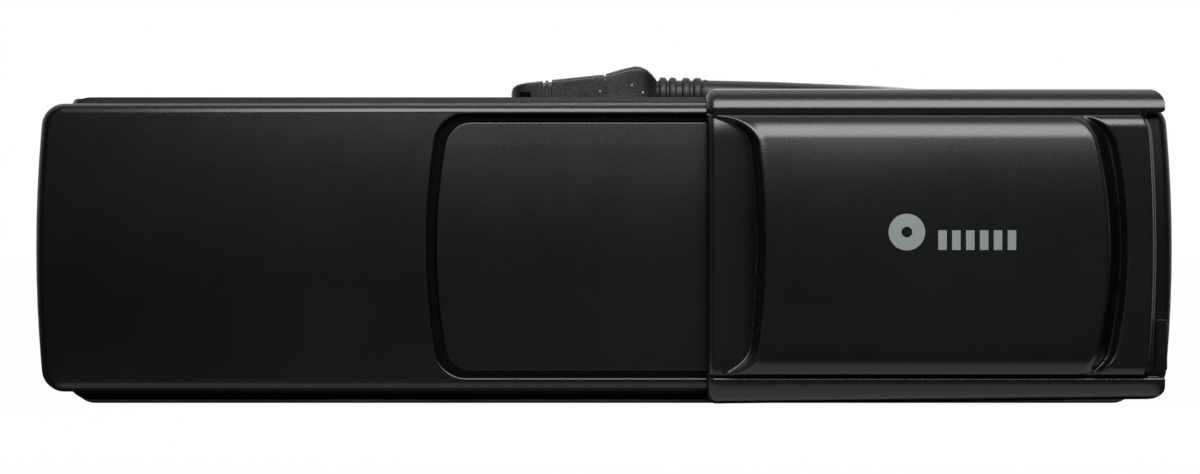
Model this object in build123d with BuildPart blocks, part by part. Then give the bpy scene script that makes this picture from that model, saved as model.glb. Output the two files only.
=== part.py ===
from build123d import *
from math import acos, cos, degrees, pi, radians, sin, sqrt, tan
import os

# Car CD changer for six discs. Millimetres, +X to the right seen from the front,
# +Y to the back, +Z up. The origin is under the middle of the housing, on the surface.

os.makedirs("parts", exist_ok=True)

# ---- driving dimensions: casing ----
chassis_half = 120.8  # half width over the side walls of the tray
chassis_front = -72.0
chassis_back = 90.0
chassis_top = 68.7
sheet = 1.0
bend = 5.0  # outer radius of the two long bends
cover_sheet = 0.8
cover_gap = 0.2
cover_skirt = 18.0  # how far the cover's sides reach down
bracket_hole_r = 2.1  # tapped for M5
bracket_hole_z = 8.0
bracket_pitch = 110.0
bracket_y = 5.0
collar_back = -66.0
collar_front = -74.6
collar_plate = 2.6
collar_half = 122.3
collar_bottom = 0.8
collar_top = 69.6

# ---- driving dimensions: front ----
bezel_half = 128.0
bezel_bow = 1.6
bezel_bottom = 2.9
bezel_height = 65.0
bezel_radius = 4.0
bezel_front = -84.5
bezel_back = -77.0
skin = 1.5
bezel_wall = 1.3
bezel_end_wall = 3.0
bezel_round = 1.8  # rounding of the front's outer edge
inset_bottom, inset_top, inset_deep = 7.8, 19.2, 0.3
window_left = -40.0
window_right = 121.9
window_bottom = 5.9
window_top = 65.5
window_bow = 3.0
window_radius = 6.5
groove = 2.0  # width of the dark gap round the leaf
running = 0.3  # gap between pieces that slide past each other
frame_front = -80.4
frame_plate = 2.0
frame_half = 124.5
slot_left = -9.0
slot_right = 120.5
slot_bottom = 14.0
slot_top = 61.0
leaf_right = 32.0
leaf_lap = 3.0  # the leaf's flange reaches this far behind the skin

# ---- driving dimensions: sliding door cover ----
door_left = 23.5
door_face_right = 123.6
door_right = 126.0
door_front = -87.0
door_wall = 2.1
door_lip = 2.3
door_edge_r = 5.0
door_end_r = 3.2  # rounding of the lips' right ends
seam_w, seam_deep = 0.5, 0.4  # crease between the face and each lip
pillow_left, pillow_right = 36.3, 112.4
pillow_bottom, pillow_top = 6.9, 64.6
pillow_scoop = 6.0  # how far the pillow's left edge curves in
pillow_bow = 4.0
pillow_corner = 4.0
pillow_rise = 4.0
pillow_round = 2.2
grip_gap = 3.4  # groove between the pillow and the raised strip
grip_rise = 1.5

# ---- driving dimensions: discs, trays and magazine ----
disc_d = 120.0
tray_count = 6
tray_pitch = 6.4
tray_thick = 1.2
tray_z = 19.0
tray_x0, tray_x1 = -5.5, 116.0
tray_gap = 0.5
disc_x, disc_y = 55.5, 7.0
tray_travel = 106.0
mag_x0, mag_x1 = -7.0, 118.0
mag_y0, mag_y1 = -58.0, 72.0
mag_z0, mag_z1 = 15.0, 59.0
mag_wall = 1.6
rail_w = 1.5
rail_h = 1.0
bay_sheet = 1.2
bay_y0, bay_y1 = -60.0, 76.0

# ---- driving dimensions: lift and playback unit ----
spindle_x = disc_x - tray_travel
spindle_y = disc_y
lift_rise = tray_pitch * (tray_count - 1)
cam_run = 24.0
pin_r = 1.5
pin_z = 20.0
pin_xs = (-84.0, -42.0)
lift_x0, lift_x1 = -116.0, -12.0
lift_y0, lift_y1 = -58.4, 76.2
lift_sheet = 1.2
lift_z = 2.2
deck_z = 12.0
deck_thick = 1.6
guide_sheet = 1.2
cam_sheet = 1.5
cam_x0, cam_x1 = -91.0, -11.5
shaft_x, shaft_z = -60.0, 61.6
shaft_r = 1.6
pinion_teeth = 12
pinion_module = 0.8
reduction_teeth = 20
motor_teeth = 10
drive_module = 0.6
sled_travel = 35.0
lens_r_in = 23.0
rod_r = 1.5
rod_y = 17.0
rod_z = 8.6
rack_y = -15.6
sled_gear_x = -78.0

# ---- driving dimensions: lead ----
lead_d = 6.0
relief_x, relief_z = 95.0, 10.0
relief_len = 20.0
plug_y = 11.0
lead_route = [
    (95, 110, 10),
    (95, 132, 10),
    (95, 150.6, 23.5),
    (94.7, 157.7, 45),
    (94, 150.6, 66.5),
    (92.7, 132.5, 80),
    (90.5, 110, 81.5),
    (87.5, 87.5, 78),
    (83.5, 66, 74.2),
    (77, 46.5, 72.9),
    (67.5, 29, 72.9),
    (53, 16.8, 73),
    (38, plug_y, 73.4),
    (25.3, plug_y, 73.4),
]


def keep(builder, name):
    """Labels a finished piece and writes it."""
    builder.part.label = name
    export_step(builder.part, f"parts/{name}.step")


def across(y, x=0.0, z=0.0):
    """A sketch plane square to Y: local x is +X, local y is +Z, and it faces the front."""
    return Plane(origin=(x, y, z), x_dir=(1, 0, 0), z_dir=(0, -1, 0))


def span(x0, x1, z0, z1, radius=0.0):
    """A rectangle from corner to corner on the active sketch, with rounded corners."""
    with Locations(((x0 + x1) / 2, (z0 + z1) / 2)):
        if radius:
            RectangleRounded(x1 - x0, z1 - z0, radius)
        else:
            Rectangle(x1 - x0, z1 - z0)


def bowed(x0, x1, z0, z1, bow_left, bow_right, radius):
    """A rounded outline whose left and right ends bow outwards by the given amounts."""
    mid = (z0 + z1) / 2
    with BuildLine() as edge:
        Line((x0 + bow_left, z0), (x1 - bow_right, z0))
        if bow_right:
            ThreePointArc((x1 - bow_right, z0), (x1, mid), (x1 - bow_right, z1))
        else:
            Line((x1, z0), (x1, z1))
        Line((x1 - bow_right, z1), (x0 + bow_left, z1))
        if bow_left:
            ThreePointArc((x0 + bow_left, z1), (x0, mid), (x0 + bow_left, z0))
        else:
            Line((x0, z1), (x0, z0))
    with BuildSketch() as plate:
        make_face(edge.edges())
        fillet(plate.vertices(), radius)
    add(plate.sketch)


def gear_outline(teeth, module, play=0.12, phase=0.0):
    """A spur gear's outline as a closed line: six points a tooth, on true involute widths."""
    pitch_r = teeth * module / 2
    base_r = pitch_r * cos(radians(20))
    tip_r = pitch_r + 0.9 * module
    root_r = pitch_r - 1.2 * module
    half_at_pitch = pi / (2 * teeth) - play / (2 * pitch_r)

    def half_width(r):
        angle = acos(min(1, base_r / r))
        at_pitch = tan(radians(20)) - radians(20)
        return half_at_pitch + at_pitch - (tan(angle) - angle)

    points = []
    for k in range(teeth):
        middle = phase + 2 * pi * k / teeth
        for r in (root_r, pitch_r, tip_r):
            a = middle - half_width(r)
            points.append((r * cos(a), r * sin(a)))
        for r in (tip_r, pitch_r, root_r):
            a = middle + half_width(r)
            points.append((r * cos(a), r * sin(a)))
    return points


def rack_outline(x0, x1, edge, module, up, first, play=0.12):
    """Points of a rack's toothed edge from x0 to x1. first is the middle of one tooth."""
    pitch = pi * module
    tip, root = 0.9 * module, 1.2 * module
    half = pitch / 4 - play / 2
    slope = tan(radians(20))
    start = first + pitch * int((x0 - first) / pitch - 2)
    points = [(x0, edge - up * root)]
    for k in range(int((x1 - x0) / pitch) + 5):
        middle = start + pitch * k
        if middle - half - root < x0 or middle + half + root > x1:
            continue
        points += [
            (middle - half - root * slope, edge - up * root),
            (middle - half + tip * slope, edge + up * tip),
            (middle + half - tip * slope, edge + up * tip),
            (middle + half + root * slope, edge - up * root),
        ]
    points.append((x1, edge - up * root))
    return points


# ======== casing ========

with BuildPart() as bottom_chassis:
    with BuildSketch(across(chassis_back)) as outside:
        span(-chassis_half, chassis_half, 0, chassis_top)
        fillet(outside.vertices().group_by(Axis.Y)[0], bend)
    extrude(amount=chassis_back - chassis_front)
    with BuildSketch(across(chassis_back - sheet)) as inside:
        span(-chassis_half + sheet, chassis_half - sheet, sheet, chassis_top + 1)
        fillet(inside.vertices().group_by(Axis.Y)[0], bend - sheet)
    extrude(amount=chassis_back - sheet - chassis_front, mode=Mode.SUBTRACT)
    # pressed collars that carry the bracket threads
    collar_len = 1.6
    for side in (-1, 1):
        with BuildSketch(Plane.YZ.offset(side * (chassis_half - sheet / 2))):
            with Locations(*[(bracket_y + s * bracket_pitch / 2, bracket_hole_z) for s in (-1, 1)]):
                Circle(bracket_hole_r + 1.4)
        extrude(amount=-side * (collar_len + sheet / 2))
    with BuildSketch(Plane.YZ.offset(-chassis_half - 1)):
        with Locations(*[(bracket_y + s * bracket_pitch / 2, bracket_hole_z) for s in (-1, 1)]):
            Circle(bracket_hole_r)
    extrude(amount=2 * chassis_half + 2, mode=Mode.SUBTRACT)
    # hole for the strain relief, in the back wall
    with BuildSketch(across(chassis_back + 1)):
        with Locations((relief_x, relief_z)):
            Circle(lead_d / 2 + 1.6)
    extrude(amount=sheet + 2, mode=Mode.SUBTRACT)
    # hole for the angle dial, in the left wall
    dial_y, dial_z, dial_r = 34.0, 34.0, 8.0
    with BuildSketch(Plane.YZ.offset(-chassis_half - 1)):
        with Locations((dial_y, dial_z)):
            Circle(dial_r + running)
    extrude(amount=sheet + 2, mode=Mode.SUBTRACT)
keep(bottom_chassis, "bottom_chassis")

cover_half = chassis_half + cover_gap + cover_sheet
cover_top = chassis_top + cover_sheet
cover_back = chassis_back + cover_gap + cover_sheet
cover_front = collar_back + running
back_skirt = 11.0

with BuildPart() as top_cover:
    with BuildSketch(across(cover_back)) as cover_outline:
        span(-cover_half, cover_half, cover_top - cover_skirt, cover_top)
        fillet(cover_outline.vertices().group_by(Axis.Y)[-1], 1.5)
    extrude(amount=cover_back - cover_front)
    with BuildSketch(across(cover_back - cover_sheet)) as under_cover:
        span(-cover_half + cover_sheet, cover_half - cover_sheet, 0, chassis_top)
    extrude(amount=cover_back - cover_sheet - cover_front, mode=Mode.SUBTRACT)
    with BuildSketch(across(cover_back + 1)):
        span(-cover_half + 2.5, cover_half - 2.5, 0, cover_top - back_skirt)
        span(-cover_half - 1, -cover_half + 2.5, 0, cover_top)
        span(cover_half - 2.5, cover_half + 1, 0, cover_top)
    extrude(amount=cover_sheet + 1, mode=Mode.SUBTRACT)
keep(top_cover, "top_cover")

screw_head_r, screw_head_h, screw_r = 2.6, 1.3, 1.2
cover_screw_ys = (-40.0, 8.0, 56.0)
cover_screw_z = cover_top - cover_skirt + 5.0

with BuildPart() as cover_screws:
    for side in (-1, 1):
        with BuildSketch(Plane.YZ.offset(side * cover_half)):
            with Locations(*[(y, cover_screw_z) for y in cover_screw_ys]):
                Circle(screw_head_r)
        extrude(amount=side * screw_head_h)
    with BuildSketch(across(cover_back)):
        with Locations((-70, cover_top - 6), (70, cover_top - 6)):
            Circle(screw_head_r)
    extrude(amount=-screw_head_h)
    chamfer(cover_screws.faces().filter_by(GeomType.PLANE).sort_by(Axis.Y)[-1].edges(), 0.4)
keep(cover_screws, "cover_screws")

collar_half_in = 119.6
collar_z_in = (5.0, 65.6)
with BuildPart() as front_collar:
    with BuildSketch(across(collar_back)) as ring:
        span(-collar_half, collar_half, collar_bottom, collar_top)
        fillet(ring.vertices(), 5.5)
    extrude(amount=collar_back - collar_front)
    with BuildSketch(across(collar_back)):
        span(-chassis_half - cover_gap, chassis_half + cover_gap, -1, chassis_top + cover_gap)
    extrude(amount=collar_back - chassis_front, mode=Mode.SUBTRACT)
    with BuildSketch(across(chassis_front)):
        span(-collar_half_in, collar_half_in, *collar_z_in, 3)
    extrude(amount=collar_plate, mode=Mode.SUBTRACT)
    fillet(front_collar.faces().sort_by(Axis.Y)[0].outer_wire().edges(), 0.8)
keep(front_collar, "front_collar")

# ======== front ========

bezel_top = bezel_bottom + bezel_height
bezel_depth = bezel_back - bezel_front
frame_bottom = bezel_bottom + bezel_wall + 0.4
frame_top = bezel_top - bezel_wall - 0.4
boss_xs = (-114.5,)
boss_zs = (11.0, 59.0)
boss_r = 2.8

with BuildPart() as front_bezel:
    with BuildSketch(across(bezel_back)):
        bowed(-bezel_half, bezel_half, bezel_bottom, bezel_top, bezel_bow, bezel_bow, bezel_radius)
    extrude(amount=bezel_depth)
    fillet(front_bezel.faces().sort_by(Axis.Y)[0].outer_wire().edges(), bezel_round)
    with BuildSketch(across(bezel_back)):
        bowed(
            -bezel_half + bezel_end_wall,
            bezel_half - bezel_end_wall,
            bezel_bottom + bezel_wall,
            bezel_top - bezel_wall,
            bezel_bow,
            bezel_bow,
            bezel_radius - bezel_wall,
        )
    extrude(amount=bezel_depth - skin, mode=Mode.SUBTRACT)
    with BuildSketch(across(bezel_front + skin)):
        bowed(window_left, window_right, window_bottom, window_top, window_bow, 0, window_radius)
    extrude(amount=skin + 1, mode=Mode.SUBTRACT)
    # solid end at the right, and two bosses at the left, seat on the inner plate
    with BuildSketch(across(frame_front)):
        span(window_right, bezel_half - bezel_end_wall - 0.5, frame_bottom + 0.4, frame_top - 0.4, 1)
        with Locations(*[(x, z) for x in boss_xs for z in boss_zs]):
            Circle(boss_r)
    extrude(amount=frame_front - bezel_front - skin)
    # small inset low on the right end
    with BuildSketch(across(bezel_front)):
        span(door_face_right + 0.4, bezel_half - bezel_bow, inset_bottom, inset_top, 0.6)
    extrude(amount=-inset_deep, mode=Mode.SUBTRACT)
keep(front_bezel, "front_bezel")

button_x0, button_x1 = 100.0, 116.0
button_z0, button_z1 = 7.7, 12.5
frame_rim = 6.0
with BuildPart() as front_frame:
    with BuildSketch(across(frame_front + frame_plate)):
        span(-frame_half + bezel_bow, frame_half - bezel_bow, frame_bottom, frame_top, 2.5)
    extrude(amount=frame_plate)
    with BuildSketch(across(collar_front)):
        span(-frame_half + bezel_bow, frame_half - bezel_bow, frame_bottom, frame_top, 2.5)
        span(
            -frame_half + frame_rim,
            frame_half - frame_rim,
            frame_bottom + frame_rim / 2,
            frame_top - frame_rim / 2,
            2,
        )
    extrude(amount=collar_front - frame_front - frame_plate)
    with BuildSketch(across(collar_front)):
        span(
            -frame_half + frame_rim,
            frame_half - frame_rim,
            frame_bottom + frame_rim / 2,
            frame_top - frame_rim / 2,
            2,
        )
    extrude(amount=collar_front - frame_front - frame_plate, mode=Mode.SUBTRACT)
    with BuildSketch(across(frame_front + frame_plate)):
        span(slot_left, slot_right, slot_bottom, slot_top, 2)
        span(button_x0, button_x1, button_z0, button_z1, 1)
    extrude(amount=frame_plate, mode=Mode.SUBTRACT)
keep(front_frame, "front_frame")

with BuildPart() as frame_screws:
    with BuildSketch(across(frame_front + frame_plate)):
        with Locations(*[(x, z) for x in boss_xs for z in boss_zs]):
            Circle(screw_head_r)
    extrude(amount=-screw_head_h)
keep(frame_screws, "frame_screws")

leaf_back = frame_front - running
leaf_front = bezel_front + skin + 0.2
with BuildPart() as door_leaf:
    with BuildSketch(across(leaf_back)):
        bowed(
            window_left - leaf_lap,
            leaf_right,
            frame_bottom,
            frame_top,
            window_bow,
            0,
            2.0,
        )
    extrude(amount=1.3)
    with BuildSketch(across(leaf_back)):
        bowed(
            window_left + groove,
            leaf_right,
            window_bottom + groove - 0.5,
            window_top - groove + 0.4,
            window_bow,
            0,
            window_radius - groove + 0.5,
        )
    extrude(amount=leaf_back - leaf_front)
keep(door_leaf, "door_leaf")

door_bottom = bezel_bottom - running - door_lip
door_top = bezel_top + running + 2.5
hook_y0, hook_y1 = bezel_back + running, collar_front - running
with BuildPart() as door_cover:
    with BuildSketch(Plane.YZ.offset(door_left)) as shell_outline:
        span(door_front, hook_y1, door_bottom, door_top)
        fillet(shell_outline.vertices().group_by(Axis.X)[0], door_edge_r)
    extrude(amount=door_right - door_left)
    with BuildSketch(Plane.YZ.offset(door_left)) as shell_inside:
        span(door_front + door_wall, hook_y1 + 1, bezel_bottom - running, bezel_top + running)
        fillet(shell_inside.vertices().group_by(Axis.X)[0], 2.4)
    extrude(amount=door_right - door_left, mode=Mode.SUBTRACT)
    with BuildSketch(Plane.YZ.offset(door_left)):
        span(hook_y0, hook_y1, frame_top + running, bezel_top + running)
        span(hook_y0, hook_y1, bezel_bottom - running, frame_bottom - running)
    extrude(amount=door_right - door_left)
    # right of the face only the two lips go on
    with BuildSketch(Plane.YZ.offset(door_face_right)):
        span(door_front - 1, hook_y1 + 1, bezel_bottom - running, bezel_top + running)
    extrude(amount=door_right - door_face_right + 1, mode=Mode.SUBTRACT)
    with BuildSketch(across(hook_y1 + 1)) as lip_ends:
        span(door_left - 1, door_right, door_bottom, door_top)
        fillet(lip_ends.vertices().group_by(Axis.X)[-1], door_end_r)
    extrude(amount=hook_y1 - door_front + 2, mode=Mode.INTERSECT)
    # creases above and below the face
    with BuildSketch(Plane.YZ.offset(door_left)):
        for z in (pillow_bottom - seam_w, pillow_top + seam_w):
            span(door_front - 1, door_front + seam_deep, z - seam_w / 2, z + seam_w / 2)
    extrude(amount=door_right - door_left, mode=Mode.SUBTRACT)
    # raised pillow with the finger scoop's curved edge at its left
    with BuildSketch(across(door_front)):
        bowed(
            pillow_left,
            pillow_right,
            pillow_bottom,
            pillow_top,
            -pillow_scoop,
            pillow_bow,
            pillow_corner,
        )
    extrude(amount=pillow_rise)
    fillet(door_cover.faces().sort_by(Axis.Y)[0].edges(), pillow_round)
    with BuildSketch(across(door_front)):
        span(pillow_right + grip_gap, door_face_right - 0.4, pillow_bottom, pillow_top, 1)
    extrude(amount=grip_rise)
keep(door_cover, "door_cover")

with BuildPart() as eject_button:
    with BuildSketch(across(frame_front + frame_plate)):
        span(button_x0 + 0.25, button_x1 - 0.25, button_z0 + 0.25, button_z1 - 0.25, 0.8)
    extrude(amount=4.0)
    fillet(eject_button.faces().sort_by(Axis.Y)[0].edges(), 0.5)
    with BuildSketch(across(frame_front + frame_plate + running + 1.0)):
        span(button_x0 - 1.0, button_x1 + 1.0, button_z0 + 0.3, button_z1 + 0.8, 0.6)
    extrude(amount=1.0)
    with BuildSketch(across(frame_front + frame_plate + running)):
        span(button_x0 + 1, button_x1 - 1, button_z0 + 0.5, button_z1 - 0.5)
    extrude(amount=running + 0.5)
    with BuildSketch(across(-67.5)):
        span(button_x0 + 5, button_x0 + 11, button_z0 + 1.2, button_z1 - 1.2)
    extrude(amount=-67.5 - (frame_front + frame_plate + running + 0.5))
keep(eject_button, "eject_button")

# ======== magazine bay ========

bay_floor = mag_z0 - running
bay_roof = mag_z1 + running
bay_right = mag_x1 + running + bay_sheet
leg_r = 3.0
leg_xy = [(-1.0, -54.0), (112.0, -54.0), (-1.0, 70.0), (112.0, 70.0)]
with BuildPart() as magazine_bay:
    with BuildSketch(across(bay_y1)):
        span(mag_x0, bay_right, bay_floor - bay_sheet, bay_roof + bay_sheet)
    extrude(amount=bay_y1 - bay_y0)
    with BuildSketch(across(bay_y1)):
        span(mag_x0 - 1, bay_right - bay_sheet, bay_floor, bay_roof)
    extrude(amount=bay_y1 - bay_y0, mode=Mode.SUBTRACT)
    # legs to the tray's floor and dimples up to the cover
    with BuildSketch(Plane.XY.offset(sheet)):
        with Locations(*leg_xy):
            Circle(leg_r)
    extrude(amount=bay_floor - bay_sheet / 2 - sheet)
    with BuildSketch(Plane.XY.offset(bay_roof + bay_sheet / 2)):
        with Locations(*leg_xy):
            Circle(leg_r)
    extrude(amount=chassis_top - bay_roof - bay_sheet / 2)
    # openings that lighten the floor and the roof
    with BuildSketch(Plane.XY.offset(bay_floor - bay_sheet - 0.01)):
        with Locations((disc_x, disc_y)):
            RectangleRounded(70, 84, 6)
    extrude(amount=bay_roof + 2 * bay_sheet - bay_floor + 1, mode=Mode.SUBTRACT)
keep(magazine_bay, "magazine_bay")

# ======== magazine ========

inner_y0, inner_y1 = mag_y0 + mag_wall, mag_y1 - mag_wall
with BuildPart() as magazine_case:
    with BuildSketch(Plane.XY.offset(mag_z0)):
        span(mag_x0, mag_x1, mag_y0, mag_y1, 3)
    extrude(amount=mag_z1 - mag_wall - mag_z0)
    with BuildSketch(Plane.XY.offset(mag_z0 + mag_wall)):
        span(mag_x0 - 5, mag_x1 - mag_wall, inner_y0, inner_y1)
    extrude(amount=mag_z1 - mag_z0, mode=Mode.SUBTRACT)
    # a pair of rails under each tray
    for k in range(tray_count):
        rail_top = tray_z + k * tray_pitch - running
        with BuildSketch(Plane.XY.offset(rail_top - rail_h)):
            span(mag_x0 + 4, mag_x1 - mag_wall, inner_y0 - 0.5, inner_y0 + rail_w)
            span(mag_x0 + 4, mag_x1 - mag_wall, inner_y1 - rail_w, inner_y1 + 0.5)
        extrude(amount=rail_h)
    # finger notch in the front wall
    with BuildSketch(across(mag_y0 + mag_wall)):
        span(disc_x - 15.5, disc_x + 15.5, mag_z1 - mag_wall - 9, mag_z1 + 1)
    extrude(amount=mag_wall * 0.5, mode=Mode.SUBTRACT)
keep(magazine_case, "magazine_case")

with BuildPart() as magazine_lid:
    with BuildSketch(Plane.XY.offset(mag_z1 - mag_wall)):
        span(mag_x0, mag_x1, mag_y0, mag_y1, 3)
    extrude(amount=mag_wall)
    # shallow recess for a list of the discs
    with BuildSketch(Plane.XY.offset(mag_z1 - 0.4)):
        span(12, 99, -38, 52, 4)
    extrude(amount=0.5, mode=Mode.SUBTRACT)
keep(magazine_lid, "magazine_lid")

for k in range(tray_count):
    z = tray_z + k * tray_pitch
    with BuildPart() as disc_tray:
        with BuildSketch(Plane.XY.offset(z)):
            span(tray_x0, tray_x1, inner_y0 + tray_gap, inner_y1 - tray_gap, 2)
        extrude(amount=tray_thick)
        with BuildSketch(Plane.XY.offset(z + tray_thick - 0.5)):
            with Locations((disc_x, disc_y)):
                Circle(disc_d / 2 + 0.6)
        extrude(amount=0.6, mode=Mode.SUBTRACT)
        # slot that clears the turntable and the pickup
        with BuildSketch(Plane.XY.offset(z)):
            with Locations((disc_x, disc_y)):
                Circle(20)
            span(tray_x0 - 1, disc_x, disc_y - 20, disc_y + 20)
        extrude(amount=tray_thick, mode=Mode.SUBTRACT)
        # notch for the puller, at the back left corner
        with BuildSketch(Plane.XY.offset(z)):
            span(tray_x0 + 4, tray_x0 + 9, inner_y1 - tray_gap - 3, inner_y1)
        extrude(amount=tray_thick, mode=Mode.SUBTRACT)
    keep(disc_tray, f"disc_tray_{k + 1}")

# eject arm behind the magazine
arm_x, arm_y = 104.0, 83.5
arm_z = 22.0
arm_reach = 30.0
arm_tip_r = 2.0
with BuildPart() as eject_arm:
    with BuildSketch(Plane.XY.offset(arm_z)):
        with Locations((arm_x, arm_y)):
            Circle(4)
        tip = (arm_x - arm_reach, mag_y1 + running + arm_tip_r)
        with Locations(tip):
            Circle(arm_tip_r)
        with BuildLine():
            Polyline(
                (arm_x, arm_y - 3.4),
                (tip[0] + 0.5, tip[1] - 1.5),
                (tip[0] - 0.6, tip[1] + 1.8),
                (arm_x - 1.2, arm_y + 3.8),
                close=True,
            )
        make_face()
    extrude(amount=2.0)
    with BuildSketch(Plane.XY.offset(arm_z - 1)):
        with Locations((arm_x, arm_y)):
            Circle(2.1)
    extrude(amount=4, mode=Mode.SUBTRACT)
keep(eject_arm, "eject_arm")

with BuildPart() as eject_post:
    with BuildSketch(Plane.XY.offset(sheet)):
        with Locations((arm_x, arm_y)):
            Circle(3.4)
    extrude(amount=arm_z - running - sheet)
    with BuildSketch(Plane.XY.offset(arm_z - running)):
        with Locations((arm_x, arm_y)):
            Circle(2.05)
    extrude(amount=4)
keep(eject_post, "eject_post")

# ======== lift walls, cams and shaft ========

front_wall_y = lift_y0 - 0.6  # inner face of the front guide wall
rear_wall_y = lift_y1 + 0.6
front_cam_y = front_wall_y - guide_sheet - running
rear_cam_y = rear_wall_y + guide_sheet + running
wall_x0, wall_x1 = -115.6, -10.0
wall_top = 66.5
pin_slot = pin_r + 0.06
ends = {
    "front": (front_wall_y, front_cam_y, -1),
    "rear": (rear_wall_y, rear_cam_y, 1),
}

for end, (wall_y, cam_y, way) in ends.items():
    with BuildPart() as guide_wall:
        with BuildSketch(across(wall_y)):
            span(wall_x0, wall_x1, sheet, wall_top)
        extrude(amount=-way * guide_sheet)
        # foot on the tray's floor
        with BuildSketch(Plane.XY.offset(sheet)):
            foot = sorted((wall_y, wall_y + way * 8))
            span(wall_x0, wall_x1, *foot)
        extrude(amount=guide_sheet)
        with BuildSketch(across(wall_y)):
            for x in pin_xs:
                span(x - pin_slot, x + pin_slot, pin_z - 3, pin_z + lift_rise + 3, pin_slot - 0.01)
            with Locations((shaft_x, shaft_z)):
                Circle(shaft_r + 0.05)
        extrude(amount=-way * guide_sheet, mode=Mode.SUBTRACT)
    keep(guide_wall, f"guide_wall_{end}")

    rack_edge = shaft_z - pinion_module * pinion_teeth / 2 - 0.12
    cam_bottom = 12.0
    with BuildPart() as cam_plate:
        with BuildSketch(across(cam_y)):
            with BuildLine():
                top = rack_outline(cam_x0, cam_x1, rack_edge, pinion_module, 1, shaft_x)
                Polyline(*top, (cam_x1, cam_bottom), (cam_x0, cam_bottom), close=True)
            make_face()
        extrude(amount=-way * cam_sheet)
        with BuildSketch(across(cam_y)):
            slope = sqrt(cam_run**2 + lift_rise**2)
            run_on = 2.0  # the slots go a little past each end of the travel
            for x in pin_xs:
                with Locations((x + cam_run / 2, pin_z + lift_rise / 2)):
                    SlotOverall(
                        slope + 2 * run_on + 2 * pin_slot,
                        2 * pin_slot,
                        rotation=degrees(acos(cam_run / slope)),
                    )
        extrude(amount=-way * cam_sheet, mode=Mode.SUBTRACT)
    keep(cam_plate, f"cam_plate_{end}")

pinion_w = cam_sheet + 1.0
pinion_front_y = front_cam_y + 0.1
pinion_rear_y = rear_cam_y - 0.1
reduction_y = pinion_front_y - pinion_w - 0.3
with BuildPart() as sync_shaft:
    with BuildSketch(across(pinion_rear_y + pinion_w + 2.0)):
        with Locations((shaft_x, shaft_z)):
            Circle(shaft_r)
    extrude(amount=pinion_rear_y + pinion_w + 2.0 - (reduction_y - 3.0))
    phase = pi / 2 + pi / pinion_teeth
    for y in (pinion_front_y, pinion_rear_y + pinion_w):
        with BuildSketch(across(y, shaft_x, shaft_z)):
            with BuildLine():
                Polyline(*gear_outline(pinion_teeth, pinion_module, phase=phase), close=True)
            make_face()
        extrude(amount=pinion_w)
keep(sync_shaft, "sync_shaft")

drive_spread = drive_module * (reduction_teeth + motor_teeth) / 2 + 0.1
with BuildPart() as lift_gear:
    with BuildSketch(across(reduction_y, shaft_x, shaft_z)):
        with BuildLine():
            Polyline(*gear_outline(reduction_teeth, drive_module), close=True)
        make_face()
        Circle(shaft_r, mode=Mode.SUBTRACT)
    extrude(amount=2.0)
keep(lift_gear, "lift_gear")

motor_x = shaft_x - drive_spread
motor_r = 5.8
with BuildPart() as lift_motor:
    with BuildSketch(across(front_wall_y)):
        with Locations((motor_x, shaft_z)):
            Circle(motor_r)
    extrude(amount=-22.0)
    chamfer(lift_motor.faces().sort_by(Axis.Y)[-1].edges(), 0.8)
keep(lift_motor, "lift_motor")

with BuildPart() as motor_pinion:
    with BuildSketch(across(reduction_y, motor_x, shaft_z)):
        with BuildLine():
            Polyline(*gear_outline(motor_teeth, drive_module, phase=pi / motor_teeth), close=True)
        make_face()
    extrude(amount=2.0)
    with BuildSketch(across(front_wall_y - guide_sheet)):
        with Locations((motor_x, shaft_z)):
            Circle(0.9)
    extrude(amount=front_wall_y - guide_sheet - reduction_y)
keep(motor_pinion, "motor_pinion")

# ======== lift frame and playback unit ========

rear_flange_top = 27.5
with BuildPart() as lift_frame:
    with BuildSketch(Plane.XY.offset(lift_z)):
        span(lift_x0, lift_x1, lift_y0, lift_y1)
        with Locations((spindle_x, spindle_y)):
            Circle(14, mode=Mode.SUBTRACT)
    extrude(amount=lift_sheet)
    with BuildSketch(Plane.XY.offset(lift_z)):
        span(lift_x0, lift_x1, lift_y0, lift_y0 + lift_sheet)
    extrude(amount=23.0 - lift_z)
    with BuildSketch(Plane.XY.offset(lift_z)):
        span(lift_x0, lift_x1, lift_y1 - lift_sheet, lift_y1)
    extrude(amount=rear_flange_top - lift_z)
    # ears for the clamp arm's pivot
    pivot_y, pivot_z = 73.0, 24.0
    ear_xs = (spindle_x - 13.4, spindle_x + 12.2)
    for x in ear_xs:
        with BuildSketch(Plane.YZ.offset(x)):
            span(pivot_y - 2.2, lift_y1 - lift_sheet / 2, pivot_z - 4, pivot_z + 2.4)
            with Locations((pivot_y, pivot_z)):
                Circle(1.27, mode=Mode.SUBTRACT)
        extrude(amount=1.2)
keep(lift_frame, "lift_frame")

with BuildPart() as lift_pins:
    pin_past = 1.0  # how far the pins stand out of the cam plates
    for near, far in (
        (lift_y0, front_cam_y - cam_sheet - pin_past),
        (lift_y1, rear_cam_y + cam_sheet + pin_past),
    ):
        with BuildSketch(across(near)):
            with Locations(*[(x, pin_z) for x in pin_xs]):
                Circle(pin_r)
        extrude(amount=near - far)
keep(lift_pins, "lift_pins")

damper_xy = [(-106.0, -46.0), (-24.0, -46.0), (-106.0, 62.0), (-24.0, 62.0)]
damper_r, damper_waist, damper_rim = 4.6, 3.2, 2.4
with BuildPart() as dampers:
    damper_z = lift_z + lift_sheet
    for z, r, length in (
        (damper_z, damper_waist, deck_z - damper_z),
        (damper_z, damper_r, damper_rim),
        (deck_z - damper_rim, damper_r, damper_rim),
    ):
        with BuildSketch(Plane.XY.offset(z)):
            with Locations(*damper_xy):
                Circle(r)
        extrude(amount=length)
keep(dampers, "dampers")

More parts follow.
